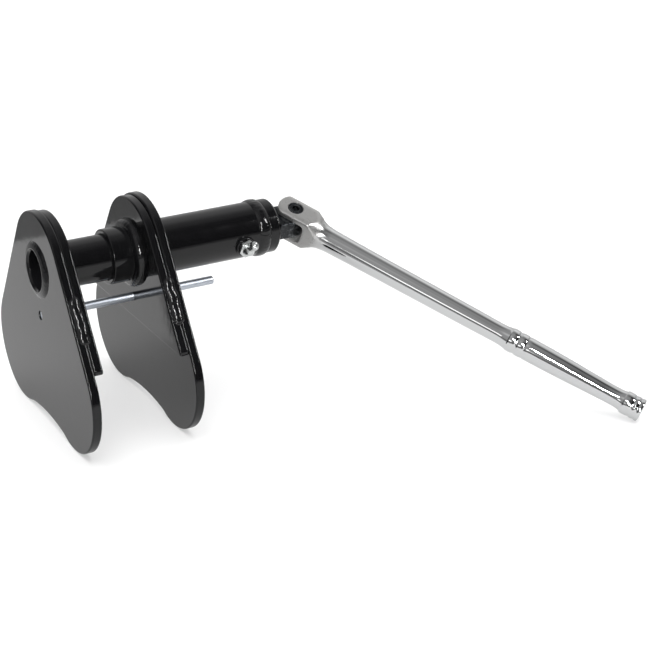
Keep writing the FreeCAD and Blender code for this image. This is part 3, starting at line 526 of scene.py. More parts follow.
def gradient(field, points):
    columns = []
    for axis in range(3):
        offset = np.zeros(3)
        offset[axis] = NUDGE
        columns.append((field(points + offset) - field(points - offset)) / (2 * NUDGE))
    return np.stack(columns, -1)


def field_piece(name, node, field, low, high, step, matrix):
    vertices, faces, normals = surface_of(field, low, high, step)
    new_piece(name, node, vertices, faces, matrix, normals)


# --- Jaws ---

# Steps along the arcs of an outline, over a rounded edge, over a hole's lip and round a hole.
FOOT_STEPS, CROWN_STEPS, ARCH_STEPS, CORNER_STEPS = 96, 64, 24, 8
EDGE_STEPS, LIP_STEPS, HOLE_STEPS = 6, 5, 96
TUBE_LIP, ROD_LIP, ROD_GAP = 0.1, 0.45, 0.06


def flank_angle(crown_radius):
    """Angle of the flank's outward normal: the common tangent of crown and foot."""
    down = FOOT_DROP - CROWN_DROP
    return (atan2(FOOT_OFFSET, down)
            - asin((crown_radius - FOOT_RADIUS) / hypot(FOOT_OFFSET, down)))


def arc_points(centre, radius, first, last, steps):
    return [(centre[0] + radius * cos(first + (last - first) * step / steps),
             centre[1] + radius * sin(first + (last - first) * step / steps))
            for step in range(steps + 1)]


def plate_outline(inset):
    """The jaw plate's outline in the plane across the screw's axis, moved inwards by inset."""
    lean = flank_angle(CROWN_RADIUS)
    foot, arch_y = (FOOT_OFFSET, -FOOT_DROP), -ARCH_DROP - ARCH_RADIUS
    foot_radius, arch_radius = FOOT_RADIUS - inset, ARCH_RADIUS + inset
    apart = hypot(foot[0], foot[1] - arch_y)
    towards = atan2(foot[1] - arch_y, foot[0])
    reach = (apart ** 2 + arch_radius ** 2 - foot_radius ** 2) / (2 * apart * arch_radius)
    bend = towards + acos(reach)
    corner = (arch_radius * cos(bend), arch_y + arch_radius * sin(bend))
    inner = atan2(corner[1] - foot[1], corner[0] - foot[0])
    right = arc_points(foot, foot_radius, inner, lean, FOOT_STEPS)
    crown = arc_points((0, -CROWN_DROP), CROWN_RADIUS - inset, lean, pi - lean, CROWN_STEPS)
    left = [(-y, z) for y, z in reversed(right)]
    arch = arc_points((0, arch_y), arch_radius, pi - bend, bend, ARCH_STEPS)
    return right + crown + left + arch[1:-1]


def doubler_outline(inset):
    """The doubler's outline: the crown a little lower, level above the feet."""
    lean = flank_angle(DOUBLER_CROWN)
    crown_radius, level = DOUBLER_CROWN - inset, -DOUBLER_DROP + inset
    crown = arc_points((0, -CROWN_DROP), crown_radius, lean, pi - lean, CROWN_STEPS)
    start = crown[0]
    run = (start[1] - level) / cos(lean)
    corner = (start[0] + run * sin(lean), level)
    rounding = DOUBLER_CORNER - inset
    ends = [(-corner[0], level, rounding), (corner[0], level, rounding), (*start, 0)]
    low = rounded([(*crown[-1], 0)] + ends, CORNER_STEPS, False)
    return crown + low[1:-1]


def edge_rows(start, rounding, steps):
    """Rows from face to face over a plate's edge: station, inset and the normal's two parts."""
    rows = []
    for level, way in ((start, 1), (start + PLATE_THICK, -1)):
        turns = [pi / 2 * step / steps for step in range(steps + 1)]
        side = [(level + way * rounding * (1 - cos(turn)), rounding * (1 - sin(turn)),
                 -way * cos(turn), sin(turn)) for turn in turns]
        rows += side[::way]
    return rows


def jaw_piece(name, outline, hole):
    """A plate with rounded edges, the hole for the tube and the one for the guide rod."""
    made = bmesh.new()
    normals = []
    start = span(name)[0]

    def wall(rows, loop_at, outward):
        """A wall with a loop in each row. Gives back its first and last loop."""
        loops = []
        for x, inset, along, across in rows:
            loops.append([made.verts.new((x, y, z)) for y, z in loop_at(inset)])
            normals.extend((along, across * y, across * z) for y, z in outward)
        for first, last in zip(loops, loops[1:]):
            for step in range(len(first)):
                made.faces.new((first[step - 1], first[step], last[step], last[step - 1]))
        return loops[0], loops[-1]

    outward = [(Vector(outer) - Vector(inner)).normalized()
               for outer, inner in zip(outline(0), outline(0.2))]
    rims = [wall(edge_rows(start, PLATE_ROUND, EDGE_STEPS), outline, outward)]
    around = [point[1:] for point in circle(0, 1, HOLE_STEPS)]
    inward = [(-y, -z) for y, z in around]
    for centre_z, radius, lip in ((0, hole, TUBE_LIP), (-ROD_DROP, ROD_RADIUS + ROD_GAP, ROD_LIP)):
        def hole_loop(inset):
            return [((radius + inset) * y, centre_z + (radius + inset) * z) for y, z in around]

        rims.append(wall(edge_rows(start, lip, LIP_STEPS), hole_loop, inward))
    for end in (0, 1):
        edges = [made.edges.get((rim[end][n - 1], rim[end][n]))
                 for rim in rims for n in range(len(rim[end]))]
        bmesh.ops.triangle_fill(made, edges=edges, use_beauty=True)
    bmesh.ops.recalc_face_normals(made, faces=made.faces)
    made.verts.index_update()
    vertices = [tuple(vertex.co) for vertex in made.verts]
    faces = [tuple(vertex.index for vertex in face.verts) for face in made.faces]
    made.free()
    new_piece(name + "_skin", name, vertices, faces, AXIS_FRAME, normals)


# --- Welds ---

# Beads are swept in rows of columns. The edge beads' rows are so far apart, in millimetres,
# and each end of such a bead runs out over so much of its length.
EDGE_ROW, EDGE_COLUMNS, EDGE_RUN_OUT = 0.22, 22, 3.5
EDGE_WIDTH, EDGE_RISE, EDGE_SCALE, EDGE_PITCH, EDGE_TOP = 4.1, 1.25, 0.34, 3.1, -2.0
RING_ROWS, RING_COLUMNS, RING_SCALE, RING_PITCH = 420, 12, 0.16, 3.2
CAP_ROWS, CAP_COLUMNS, CAP_RISE, CAP_SCALE, CAP_PITCH = 480, 16, 1.2, 0.12, 3.1


def ripple(along, across, pitch):
    """Height from 0 to 1 of a weld's crescents, each laid over the one before."""
    phase = (along / pitch + 0.55 * across * across) % 1.0
    return (1 - phase) ** 0.6 * min(1.0, phase * 9)


def wander(seed, along, wavelength):
    return noise.noise(Vector((along / wavelength, seed * 7.31, 0.5)))


def edge_bead(shell, seam, side, length, seed):
    """A bead laid down the flank, over the seam between plate and doubler."""
    lean = flank_angle(CROWN_RADIUS)
    outward = Vector((0, side * cos(lean), sin(lean)))
    down = Vector((0, side * sin(lean), -cos(lean)))
    flank = Vector((0, 0, -CROWN_DROP)) + outward * CROWN_RADIUS
    start = flank + down * ((flank.z - EDGE_TOP) / cos(lean))
    loops = []
    rows = int(length / EDGE_ROW)
    for row in range(rows + 1):
        along = length * row / rows
        to_end = min(along, length - along)
        ends = 1.0
        if to_end < EDGE_RUN_OUT:
            ends = sin(pi * to_end / (2 * EDGE_RUN_OUT) + 0.12)
        width = EDGE_WIDTH * ends * (1 + 0.12 * wander(seed, along, 4.0))
        shift = 1.1 * wander(seed + 3, along, 6.0) - 0.3
        rise = EDGE_RISE * ends * (1 + 0.3 * wander(seed + 5, along, 4.0))
        beat = along + 1.6 * wander(seed + 7, along, 3.3)
        centre = start + down * along + Vector((seam + shift, 0, 0))
        loop = []
        for column in range(EDGE_COLUMNS + 1):
            part = 2 * column / EDGE_COLUMNS - 1
            crown = rise * (1 - abs(part) ** 2.4)
            scale = EDGE_SCALE * ends * (1 - part ** 4) * ripple(beat, part, EDGE_PITCH)
            loop.append(centre + Vector((part * width, 0, 0)) + outward * (crown + scale - 0.12))
        for edge in (width, -width):
            loop.append(centre + Vector((edge, 0, 0)) - outward * 1.5)
        loops.append([tuple(point) for point in loop])
    shell.swept(loops)


def ring_bead(shell, radius, leg, length, at, towards, seed, bulge=0.5):
    """A fillet of weld round a tube: its leg stands on the plate at that station."""
    root, depth = 0.2, 0.15
    loops = []
    for row in range(RING_ROWS):
        turn = TAU * row / RING_ROWS
        along = turn * (radius + leg / 2)
        fade = 1 + 0.10 * wander(seed, 12 * cos(turn) + 9 * sin(turn), 5.0)
        loop = []
        for column in range(RING_COLUMNS + 1):
            part = column / RING_COLUMNS
            crown = ((bulge + RING_SCALE * ripple(along, 2 * part - 1, RING_PITCH))
                     * sin(pi * part))
            out = leg * fade * (1 - part) + crown * 0.75
            reach = length * fade * part + crown * 0.65
            loop.append(on_circle(at + towards * reach, radius + out - 0.05, turn))
        loop.append(on_circle(at + towards * length * 0.9, radius - depth, turn))
        loop.append(on_circle(at - towards * root, radius - depth, turn))
        loop.append(on_circle(at - towards * root, radius + leg * fade, turn))
        loops.append(loop[::towards])
    shell.swept(loops, closed=True)


def cap_bead(shell, first, last, seed):
    """The crowned bead round the end of the outer tube."""
    loops = []
    for row in range(CAP_ROWS):
        turn = TAU * row / CAP_ROWS
        along = turn * OUTER_RADIUS
        swell = 1 + 0.2 * wander(seed, 14 * cos(turn) + 11 * sin(turn), 3.0)
        loop = []
        for column in range(CAP_COLUMNS + 1):
            part = 2 * column / CAP_COLUMNS - 1
            high = CAP_RISE * swell * (1 - abs(part) ** 2.6)
            high += CAP_SCALE * (1 - part ** 4) * ripple(along, part, CAP_PITCH)
            x = (first + last) / 2 + part * (last - first) / 2 * (0.97 + 0.03 * swell)
            loop.append(on_circle(x, OUTER_RADIUS + high - 0.06, turn))
        for x in (last, first):
            loop.append(on_circle(x, OUTER_RADIUS - 0.4, turn))
        loops.append(loop)
    shell.swept(loops, closed=True)


def make_jaws():
    for end, hole, shift, seeds in (("front", INNER_RADIUS, -0.3, (1, 3)),
                                    ("rear", OUTER_RADIUS, -0.6, (2, 4))):
        plate, doubler = end + "_jaw_plate", end + "_jaw_doubler"
        jaw_piece(plate, plate_outline, hole)
        jaw_piece(doubler, doubler_outline, hole)
        seam = max(span(plate)[0], span(doubler)[0])
        shell = Shell()
        for side, length, seed in zip((1, -1), (31.0, 33.0), seeds):
            edge_bead(shell, seam + shift, side, length, seed)
        node = end + "_edge_welds"
        shell_piece(node + "_beads", node, shell, AXIS_FRAME)


def make_welds():
    front = Shell()
    ring_bead(front, INNER_RADIUS, leg=3.9, length=2.1, at=0, towards=-1, seed=11, bulge=0.35)
    ring_bead(front, INNER_RADIUS, leg=3.0, length=3.0, at=2 * PLATE_THICK, towards=1, seed=12)
    shell_piece("front_tube_weld_rings", "front_tube_welds", front, AXIS_FRAME)
    rear = Shell()
    ring_bead(rear, OUTER_RADIUS, leg=4.9, length=5.2, at=span("rear_jaw_doubler")[0],
              towards=-1, seed=13, bulge=1.5)
    ring_bead(rear, OUTER_RADIUS, leg=4.0, length=4.0, at=span("rear_jaw_plate")[1],
              towards=1, seed=14)
    shell_piece("rear_tube_weld_rings", "rear_tube_welds", rear, AXIS_FRAME)
    cap = Shell()
    cap_bead(cap, *span("end_cap_weld"), seed=15)
    shell_piece("end_cap_weld_bead", "end_cap_weld", cap, AXIS_FRAME)
    rod = Shell()
    ring_bead(rod, ROD_RADIUS, leg=2.2, length=2.2, at=2 * PLATE_THICK, towards=1, seed=16,
              bulge=0.2)
    shell_piece("guide_rod_weld_ring", "guide_rod_weld", rod, ROD_FRAME)


# --- Tubes, cap and rod ---

# How far the front mouth of the inner tube, the cap and the rod's end are chamfered.
MOUTH_IN, MOUTH_OUT, CAP_CHAMFER, ROD_CHAMFER = 1.6, 1.1, 1.6, 0.7


def make_turned():
    """The two tubes, the end cap and the rod, from (station, radius, rounding) points."""
    inner_start, inner_end = span("inner_tube")
    inner = [(inner_start, INNER_BORE + MOUTH_OUT, 0.4), (inner_start, INNER_RADIUS, 0.7),
             (inner_end, INNER_RADIUS, 0.4), (inner_end, INNER_BORE, 0.2),
             (inner_start + MOUTH_IN, INNER_BORE, 0.6)]
    outer_start, outer_end = span("outer_tube")
    outer = [(outer_start, OUTER_BORE, 0.5), (outer_start, OUTER_RADIUS, 0.9),
             (outer_end, OUTER_RADIUS, 0.2), (outer_end, OUTER_BORE, 0.2)]
    cap_start, cap_end = span("end_cap")
    spigot = OUTER_BORE - CAP_GAP
    cap = [(cap_start, CAP_BORE, 0.3), (cap_start, spigot, 0.3), (outer_end, spigot, 0),
           (outer_end, OUTER_RADIUS, 0.4), (cap_end - CAP_CHAMFER, OUTER_RADIUS, 0.7),
           (cap_end, OUTER_RADIUS - CAP_CHAMFER, 0.6), (cap_end, CAP_BORE, 0.6)]
    for name, node, profile in (("inner_tube_pipe", "inner_tube", inner),
                                ("outer_tube_pipe", "outer_tube", outer),
                                ("end_cap_turned", "end_cap", cap)):
        weighted(shell_piece(name, node, Shell().turned(rounded(profile), 192), AXIS_FRAME))
    rod_start, rod_end = span("guide_rod")
    rod = rounded([(rod_start, 0, 0), (rod_start, ROD_RADIUS, 0.5),
                   (rod_end - ROD_CHAMFER, ROD_RADIUS, 0.3),
                   (rod_end, ROD_RADIUS - ROD_CHAMFER, 0.2), (rod_end, 0, 0)], 4, False)
    weighted(shell_piece("guide_rod_bar", "guide_rod", Shell().turned(rod, 96, False), ROD_FRAME))


# --- Lead screw and springs ---

# Points round the screw, and rows along one pitch of its thread.
SCREW_STEPS, PITCH_ROWS = 64, 9
THREAD_FLAT, THREAD_SLOPE, SCREW_CHAMFER = 0.12, 0.76, 1.6
# Steps round a spring's wire and along one turn of it.
WIRE_STEPS, TURN_STEPS = 10, 28
DETENT_STATION = -25.0


def thread_row(x, start):
    """One loop of the right-hand thread, which fades in at the start and out at its end."""
    fade = min(1.0, (x - start) / 1.8 + 0.1, (THREAD_END - x) / 2.0 + 0.05)
    limit = SCREW_RADIUS - max(0.0, SCREW_CHAMFER - (x - start))
    loop = []
    for n in range(SCREW_STEPS):
        phase = (x / THREAD_PITCH - n / SCREW_STEPS) % 1.0
        crest = min(1.0, max(0.0, (abs(phase - 0.5) * 2 - THREAD_FLAT) / THREAD_SLOPE))
        radius = min(SCREW_RADIUS - THREAD_DEPTH * (1 - crest) * fade, limit)
        loop.append(on_circle(x, radius, TAU * n / SCREW_STEPS))
    return loop


def make_lead_screw():
    """A right-hand thread up to the bearing, then a plain neck and the hub with its socket."""
    start, end = span("lead_screw")
    hub_start = span("screw_collar")[0]
    step = THREAD_PITCH / PITCH_ROWS
    loops = [circle(start, SCREW_RADIUS - THREAD_DEPTH - 1, SCREW_STEPS)]
    loops += [thread_row(start + row * step, start)
              for row in range(1, int((THREAD_END - start) / step))]
    loops += [circle(x, radius, SCREW_STEPS) for x, radius in (
        (THREAD_END, SCREW_RADIUS), (hub_start, SCREW_RADIUS), (hub_start, HUB_RADIUS - 0.3),
        (hub_start + 0.3, HUB_RADIUS), (end - 0.6, HUB_RADIUS), (end - 0.2, HUB_RADIUS - 0.2),
        (end, HUB_RADIUS - 0.6))]
    loops += [[(x, *on_square(TAU * n / SCREW_STEPS, half)) for n in range(SCREW_STEPS)]
              for x, half in ((end, SOCKET_HALF + 0.5), (end - 0.5, SOCKET_HALF),
                              (end - SOCKET_DEPTH, SOCKET_HALF))]
    shell_piece("lead_screw_thread", "lead_screw", Shell().swept(loops), AXIS_FRAME)


def on_square(turn, half):
    """The point in that direction of a square of that half width, rolled with the tang."""
    y, z = cos(turn - ROLL), sin(turn - ROLL)
    scale = half / max(abs(y), abs(z))
    y, z = y * scale, z * scale
    return (y * cos(ROLL) - z * sin(ROLL), y * sin(ROLL) + z * cos(ROLL))


def coil(name, node, matrix, first, last, radius, wire, turns):
    """A coil spring along the local X axis, from one station to the other."""
    loops = []
    for number in range(int(turns * TURN_STEPS) + 1):
        turn = TAU * number / TURN_STEPS
        part = number / (turns * TURN_STEPS)
        x = first + wire + (last - first - 2 * wire) * part
        centre = Vector(on_circle(x, radius, turn))
        out = Vector(on_circle(0, 1, turn))
        loops.append([tuple(centre + out * wire * cos(TAU * n / WIRE_STEPS)
                            + Vector((wire * sin(TAU * n / WIRE_STEPS), 0, 0)))
                      for n in range(WIRE_STEPS)])
    shell_piece(name, node, Shell().swept(loops), matrix)


def make_springs():
    coil("flex_spring_coil", "flex_spring", HANDLE_FRAME, first=18.9, last=29.9, radius=1.85,
         wire=0.4, turns=8)
    upward = (TANG_FRAME @ Matrix.Translation((DETENT_STATION, 0, 0))
              @ Matrix.Rotation(radians(-90), 4, "Y"))
    coil("detent_spring_coil", "detent_spring", upward, first=0.55, last=1.88, radius=1.55,
         wire=0.25, turns=2.5)


# --- Grease fitting ---

HEX_HALF, HEX_CORNER, HEX_TOP = 5.75, 6.0, BOSS_RISE + 3.4
RISER_RADIUS, ELBOW_RADIUS, ELBOW_TILT, ELBOW_TURN = 3.9, 4.0, 60.0, -17.0
NECK_RADIUS, HEAD_RADIUS, HEAD_START, HEAD_TAPER, NIPPLE_END = 2.6, 3.2, 5.4, 7.4, 8.6
MOUTH_RADIUS, MOUTH_START, BALL_RADIUS, BALL_MIDDLE = 1.35, 7.7, 1.1, 7.5
ELBOW = np.array([0, 0, HEX_TOP + 0.8])
NIPPLE_WAY = np.array([0, sin(radians(ELBOW_TILT)), cos(radians(ELBOW_TILT))])


def boss(p):
    """A round post on the tube, rounded over at its rim and blended into the tube."""
    post = common(np.hypot(p[:, 0], p[:, 1]) - BOSS_RADIUS, p[:, 2] - BOSS_RISE, 1.0)
    tube = np.hypot(p[:, 1], p[:, 2] + OUTER_RADIUS) - (OUTER_RADIUS - 0.35)
    return cut(post, tube, 0.2)


def fitting(p):
    """A hexagon, an elbow, and a waisted nipple with its ball in the mouth."""
    x, y, z = p.T
    out = np.hypot(x, y)
    nut = common(hexagon(x, y, HEX_HALF, 0), slab(z, BOSS_RISE - 0.1, HEX_TOP), 0.4)
    nut = common(nut, out + (z - HEX_TOP) * 1.6 - HEX_CORNER, 0.3)
    riser = np.maximum(out - RISER_RADIUS, slab(z, HEX_TOP - 1, ELBOW[2]))
    knee = np.linalg.norm(p - ELBOW, axis=1) - ELBOW_RADIUS
    along = (p - ELBOW) @ NIPPLE_WAY
    side = np.sqrt(np.maximum(((p - ELBOW) ** 2).sum(1) - along ** 2, 1e-9))
    neck = common(side - NECK_RADIUS, slab(along, 0, NIPPLE_END), 0.4)
    head = common(side - HEAD_RADIUS + np.maximum(0, along - HEAD_TAPER) * 0.5,
                  slab(along, HEAD_START, NIPPLE_END), 0.8)
    mouth = common(side - MOUTH_RADIUS, slab(along, MOUTH_START, 12), 0.5)
    ball = np.linalg.norm(p - (ELBOW + NIPPLE_WAY * BALL_MIDDLE), axis=1) - BALL_RADIUS
    solid = united(united(nut, united(riser, knee, 0.8), 0.6), united(neck, head, 0.9), 0.7)
    return np.minimum(cut(solid, mouth, 0.4), ball)


def make_grease_point():
    field_piece("grease_boss_post", "grease_boss", boss, (-8.0, -8.0, -2.6),
                (8.0, 8.0, BOSS_RISE + 0.5), 0.4, GREASE_FRAME)
    turned = GREASE_FRAME @ Matrix.Rotation(radians(ELBOW_TURN), 4, "Z")
    field_piece("grease_fitting_elbow", "grease_fitting", fitting, (-7.2, -7.2, BOSS_RISE - 0.6),
                (7.2, 12.5, HEX_TOP + 8.0), 0.22, turned)


# --- Flex handle ---

# The turned outlines as (station, radius) points from the pivot, and the rings over them as
# (start, end).
SHAFT = [(-14, 14.85), (13.6, 14.85), (18, 12.7), (22, 10.4), (26, 9.2), (32, 8.65), (50, 8.35),
         (75, 8.05), (100, 7.9), (125, 7.7), (150, 7.5), (168, 7.3), (172, 7.55), (175.4, 8.1)]
GRIP = [(190.0, 8.4), (200, 8.33), (210, 8.15), (222, 7.85), (234, 7.4), (244, 7.1), (253, 6.8),
        (259, 6.75), (262.6, 6.95), (264.6, 7.35)]
SHAFT_RINGS = [(175.4, 181.4), (182.6, 188.4)]
END_RINGS = [(265.0, 271.2), (272.2, 275.4), (276.2, 279.1)]
RING_RADIUS, GROOVE_RADIUS, END_RADIUS, END_GROOVE, END_FACE = 8.6, 8.1, 8.3, 7.9, 6.4
RING_SHOULDER, RING_CROWN = 0.8, 0.1
NECK = np.array(curve_through(SHAFT, 0.5)).T
# The turned part starts a little inside the yoke, closed by a disc still further in.
YOKE_END, TURNED_INSIDE, DISC_INSIDE, DISC_RADIUS = 40.0, 0.8, 1.2, 7.9
YOKE_TIP, YOKE_HALF = 12.5, 9.5
# The slot is a rectangle to that station and half width, grown all round by its rounding.
SLOT_END, SLOT_HALF, SLOT_ROUND = 8.7, 4.4, 3.5
RECESS_RADIUS, RECESS_FLOOR, PIVOT_BORE, PLUNGER_BORE = 5.62, 8.75, 4.05, 2.53
# The satin finish ends at that station, after fading over so much of the neck.
SATIN_END, SATIN_FADE = 31.0, 11.0


def ring_profile(first, last, radius, foot):
    """A ring with a soft crown, from groove to groove."""
    return rounded([(first, foot, 0), (first + RING_SHOULDER, radius - RING_CROWN, 1.0),
                    ((first + last) / 2, radius, 1.0),
                    (last - RING_SHOULDER, radius - RING_CROWN, 1.0), (last, foot, 0)], 5, False)


def handle_profile():
    """The outline of the shaft and grip, from just inside the yoke to the handle's end."""
    start = YOKE_END - TURNED_INSIDE
    outline = [(start, float(neck_radius(np.array([start]))[0]) + 0.02)]
    outline += [point for point in curve_through(SHAFT, 2.0) if point[0] > YOKE_END]
    for first, last in SHAFT_RINGS:
        outline += ring_profile(first, last, RING_RADIUS, GROOVE_RADIUS)
    outline += curve_through(GRIP, 2.0)
    for first, last in END_RINGS[:-1]:
        outline += ring_profile(first, last, END_RADIUS, END_GROOVE)
    first, last = END_RINGS[-1]
    outline += rounded([(first, END_GROOVE, 0), (first + 0.7, END_RADIUS, 0.8),
                        (last - 0.5, END_RADIUS - 0.05, 0.9), (last, END_FACE, 0.5),
                        (last, 0, 0)], 6, False)
    return outline


def neck_radius(x):
    return np.interp(x, NECK[0], NECK[1])


def yoke(p):
    """The turned blank with its sides milled flat, its slot, and the bores for screw and pin."""
    x, y, z = p[:, 0], p[:, 1], np.abs(p[:, 2])
    slope = np.interp(x, NECK[0], np.gradient(NECK[1], NECK[0]))
    turned = (np.hypot(y, z) - neck_radius(x)) / np.sqrt(1 + slope ** 2)
    tips = np.where(x < 0, np.hypot(x, y) - YOKE_TIP, np.abs(y) - YOKE_TIP)
    flats = common(np.abs(y) - YOKE_HALF, tips, 1.2)
    body = common(common(turned, flats, 0.7), z - YOKE_TIP, 1.2)
    deep, wide = x - SLOT_END, z - SLOT_HALF
    slot = (np.hypot(np.maximum(deep, 0), np.maximum(wide, 0))
            + np.minimum(np.maximum(deep, wide), 0) - SLOT_ROUND)
    recess = np.maximum(np.hypot(x, y) - RECESS_RADIUS, RECESS_FLOOR - p[:, 2])
    shank = np.hypot(x, y) - PIVOT_BORE
    pin = np.maximum(np.hypot(y, z) - PLUNGER_BORE, slab(x, 10, 30))
    body = cut(cut(body, slot, 0.6), recess, 0.35)
    return np.maximum(cut(cut(body, shank, 0.3), pin, 0.3), x - YOKE_END)


def make_handle():
    shell = Shell()
    shell.add(*surface_of(yoke, (-13.2, -10.2, -13.2), (YOKE_END, 10.2, 13.2), 0.4)[:2])
    disc = [(YOKE_END - DISC_INSIDE, 0), (YOKE_END - DISC_INSIDE, DISC_RADIUS)]
    shell.turned(disc + handle_profile(), 128, False)
    piece = shell_piece("handle_bar_chrome", "handle_bar", shell, HANDLE_FRAME)
    satin = piece.data.attributes.new("satin", "FLOAT", "POINT")
    along = np.array([point[0] for point in shell.vertices])
    amount = np.clip((SATIN_END - along) / SATIN_FADE, 0, 1)
    satin.data.foreach_set("value", amount.astype(np.float32))


# --- Tang and pivot screw ---

DRIVE_HALF, DRIVE_CORNER, DRIVE_START, DRIVE_END = 6.35, 12.1, -31.2, -15
SHOULDER_RADIUS, SHOULDER_START, SHOULDER_END = 9.3, -17.2, -13.9
KNUCKLE_RADIUS, KNUCKLE_HALF, TANG_BORE = 9.5, 7.7, 4.06
DETENT_RADIUS, DETENT_FLOOR = 2.25, 0.5
SCREW_HEAD_RADIUS, SCREW_HEAD_START, SCREW_HEAD_END = 5.5, 8.85, 12.25
SHANK_RADIUS, SHANK_START, SHANK_END = 4.0, -12.2, 9.5
KEY_HALF, KEY_TURN, KEY_FLOOR = 2.5, 10, 9.85
MARK_RADIUS, MARK_HALF, MARK_FLOOR = 4.15, 0.3, 12.0


def tang(p):
    """The drive square, a shoulder and the knuckle that the pivot screw goes through."""
    x, y, z = p.T
    square = np.maximum(np.abs(y), np.abs(z)) - DRIVE_HALF
    square = common(square, slab(x, DRIVE_START, DRIVE_END), 0.9)
    square = common(square, np.abs(y) + np.abs(z) - DRIVE_CORNER, 0.6)
    shoulder = common(np.hypot(y, z) - SHOULDER_RADIUS, slab(x, SHOULDER_START, SHOULDER_END), 1.0)
    knuckle = np.where(x < 0, np.abs(y), np.hypot(x, y)) - KNUCKLE_RADIUS
    knuckle = common(knuckle, np.abs(z) - KNUCKLE_HALF, 1.0)
    knuckle = common(knuckle, DRIVE_END - x, 0.5)
    solid = united(united(square, shoulder, 0.5), knuckle, 1.0)
    bore = np.hypot(x, y) - TANG_BORE
    dimple = np.maximum(np.hypot(x - DETENT_STATION, y) - DETENT_RADIUS, DETENT_FLOOR - z)
    return cut(cut(solid, bore, 0.3), dimple, 0.2)


def pivot_screw(p):
    """A shank and a round head with a hexagon socket and a turned ring in its face."""
    x, y, z = p.T
    out = np.hypot(x, y)
    head = common(out - SCREW_HEAD_RADIUS, slab(z, SCREW_HEAD_START, SCREW_HEAD_END), 0.5)
    shank = common(out - SHANK_RADIUS, slab(z, SHANK_START, SHANK_END), 0.5)
    key = np.maximum(hexagon(x, y, KEY_HALF, KEY_TURN), KEY_FLOOR - z)
    mark = np.maximum(np.abs(out - MARK_RADIUS) - MARK_HALF, MARK_FLOOR - z)
    return cut(cut(np.minimum(head, shank), key, 0.3), mark, 0.3)


def make_tang_and_screw():
    field_piece("drive_tang_forged", "drive_tang", tang, (-31.6, -9.9, -9.6), (10.0, 9.9, 9.6),
                0.4, TANG_FRAME)
    field_piece("pivot_screw_head", "pivot_screw", pivot_screw, (-5.9, -5.9, -12.6),
                (5.9, 5.9, 12.7), 0.25, HANDLE_FRAME)


# --- Floor, light and camera ---

CAMERA_AZIMUTH, CAMERA_ELEVATION, CAMERA_DISTANCE = -29.43, 24.0, 1124.9
CAMERA_TARGET, LAMP_TARGET = (158.8, -106.2, -33.3), (90, -40, -40)
LENS_MM, SENSOR_MM, CLIP_END_M = 94.15, 36.0, 500
# The floor's half width, and the sheet of painted reflection mirrored in its place, in metres.
FLOOR_REACH = 60.0
SHEET_LEFT, SHEET_RIGHT, SHEET_FRONT, SHEET_BACK, SHEET_LEVEL = -0.36, 0.8, -0.8, 0.395, 0.0004
# Soft patches of brightness round the tool: azimuth and elevation of the middle, how far
# from it the patch is full and where it ends, all in degrees, and how bright it is.
SURROUNDINGS = [(160, 10, 25, 70, 0.75), (-60, 78, 12, 38, 0.36), (-60, 35, 12, 40, 0.38),
                (115, 55, 5, 28, 0.30), (95, 32, 12, 34, 0.40)]
DARK = 0.025


def directed(azimuth, elevation):
    """A direction out from the tool. Azimuth 0 is straight out in front, 90 is along X."""
    turn, rise = radians(azimuth), radians(elevation)
    return Vector((sin(turn) * cos(rise), -cos(turn) * cos(rise), sin(rise)))


def aimed(thing, towards, distance, target):
    """Puts a camera or lamp that far from a target in the tool's frame, facing it."""
    thing.location = AXIS_FRAME @ Vector(target) + towards * distance
    thing.rotation_euler = towards.to_track_quat("Z", "Y").to_euler()


def make_camera():
    data = bpy.data.cameras.new("camera")
    data.lens, data.sensor_width, data.clip_end = LENS_MM, SENSOR_MM, CLIP_END_M
    camera = new_object("camera", data)
    aimed(camera, directed(CAMERA_AZIMUTH, CAMERA_ELEVATION), CAMERA_DISTANCE * MM, CAMERA_TARGET)
    bpy.context.scene.camera = camera


def matt(name, low, high, grain):
    """A dull grey surface that is cloudy from low to high."""
    made = new_material(name, Roughness=0.9)
    made.colour(made.noise(grain, 2), (low,) * 3, (high,) * 3)
    return made


def make_floor():
    bpy.ops.mesh.primitive_plane_add(size=2 * FLOOR_REACH, location=(0, 0, 0))
    floor = bpy.context.object
    floor.name = "studio_floor"
    made = matt("studio_floor", 0.86, 0.88, 3)
    made.set(Specular_IOR_Level=0.1)
    floor.data.materials.append(made.owner)


def make_reflected_floor():
    """Painted reflection of the floor, seen only in the tool's surfaces: a grey sheet, and painted shade past it.
    """
    inner = [(SHEET_LEFT, SHEET_FRONT), (SHEET_RIGHT, SHEET_FRONT), (SHEET_RIGHT, SHEET_BACK),
             (SHEET_LEFT, SHEET_BACK)]
    outer = [(FLOOR_REACH * x, FLOOR_REACH * y) for x, y in ((-1, -1), (1, -1), (1, 1), (-1, 1))]
    mesh = bpy.data.meshes.new("reflected_floor")
    around = [(n, (n + 1) % 4, 4 + (n + 1) % 4, 4 + n) for n in range(4)]
    mesh.from_pydata([(x, y, SHEET_LEVEL) for x, y in inner + outer], [],
                     [(0, 1, 2, 3)] + around)
    # Painted reflection near the tool, and painted shade for the dimmer floor further off.
    for name, low, high in (("near_painted_reflection", 0.66, 0.70), ("far_painted_shade", 0.22, 0.26)):
        mesh.materials.append(matt(name, low, high, 2).owner)
    for polygon in mesh.polygons:
        polygon.material_index = min(polygon.index, 1)
    card = new_object("reflected_floor", mesh)
    card.visible_camera = card.visible_diffuse = card.visible_shadow = False


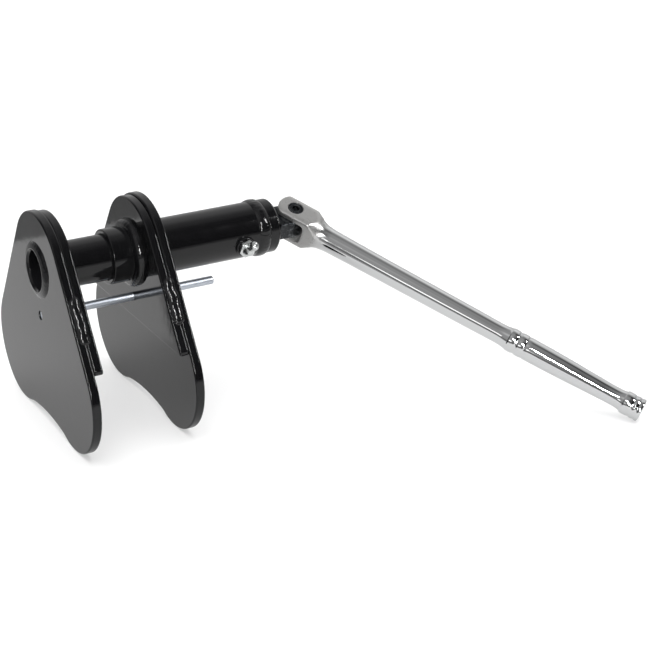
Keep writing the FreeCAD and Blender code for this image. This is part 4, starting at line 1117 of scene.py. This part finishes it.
def new_lamp(name, kind, power):
    lamp = new_object(name, bpy.data.lights.new(name, kind))
    lamp.data.energy = power
    return lamp


def make_lights():
    """Broad light from above that mirrors nowhere, and small windows that make the glints."""
    for name, power, shadow in (("ceiling", 0.5, True), ("ceiling_fill", 3.1, False)):
        ceiling = new_lamp(name, "SUN", power)
        ceiling.data.angle, ceiling.data.use_shadow = radians(70), shadow
        ceiling.rotation_euler = (radians(8), radians(-6), 0)
        ceiling.visible_glossy = False
    for name, azimuth, elevation, distance, width, height, power, glints_only in (
            ("left_window", -41, 17, 1.13, 0.26, 0.2, 0.25, False),
            ("front_window", -17, 25, 1.2, 0.06, 0.66, 9.5, True),
            ("right_window", 47, 33, 1.2, 0.08, 0.5, 8.5, True)):
        window = new_lamp(name, "AREA", power)
        window.data.shape, window.data.size, window.data.size_y = "RECTANGLE", width, height
        aimed(window, directed(azimuth, elevation), distance, LAMP_TARGET)
        window.data.use_shadow = window.visible_diffuse = not glints_only


def make_surroundings():
    """The dark room that the tool mirrors, with its soft bright patches."""
    made = Nodes(bpy.data.worlds.new("studio"), "Background", "Generated")
    total = None
    for azimuth, elevation, full, end, bright in SURROUNDINGS:
        near = made.add("ShaderNodeVectorMath", operation="DOT_PRODUCT")
        near.inputs[1].default_value = directed(azimuth, elevation)
        made.link(made.place, near.inputs[0])
        patch = made.add("ShaderNodeMapRange", interpolation_type="SMOOTHSTEP",
                         From_Min=cos(radians(end)), From_Max=cos(radians(full)),
                         To_Min=0.0 if total else DARK, To_Max=bright)
        made.link(near.outputs["Value"], patch.inputs["Value"])
        if total:
            both = made.add("ShaderNodeMath", operation="ADD")
            made.link(total, both.inputs[0])
            made.link(patch.outputs["Result"], both.inputs[1])
        total = both.outputs[0] if total else patch.outputs["Result"]
    made.link(total, made.shader.inputs["Color"])
    bpy.context.scene.world = made.owner
    bpy.context.scene.view_settings.view_transform = "Standard"


make_camera()
make_floor()
make_reflected_floor()
make_lights()
make_surroundings()
make_jaws()
make_welds()
make_turned()
make_lead_screw()
make_springs()
make_grease_point()
make_handle()
make_tang_and_screw()
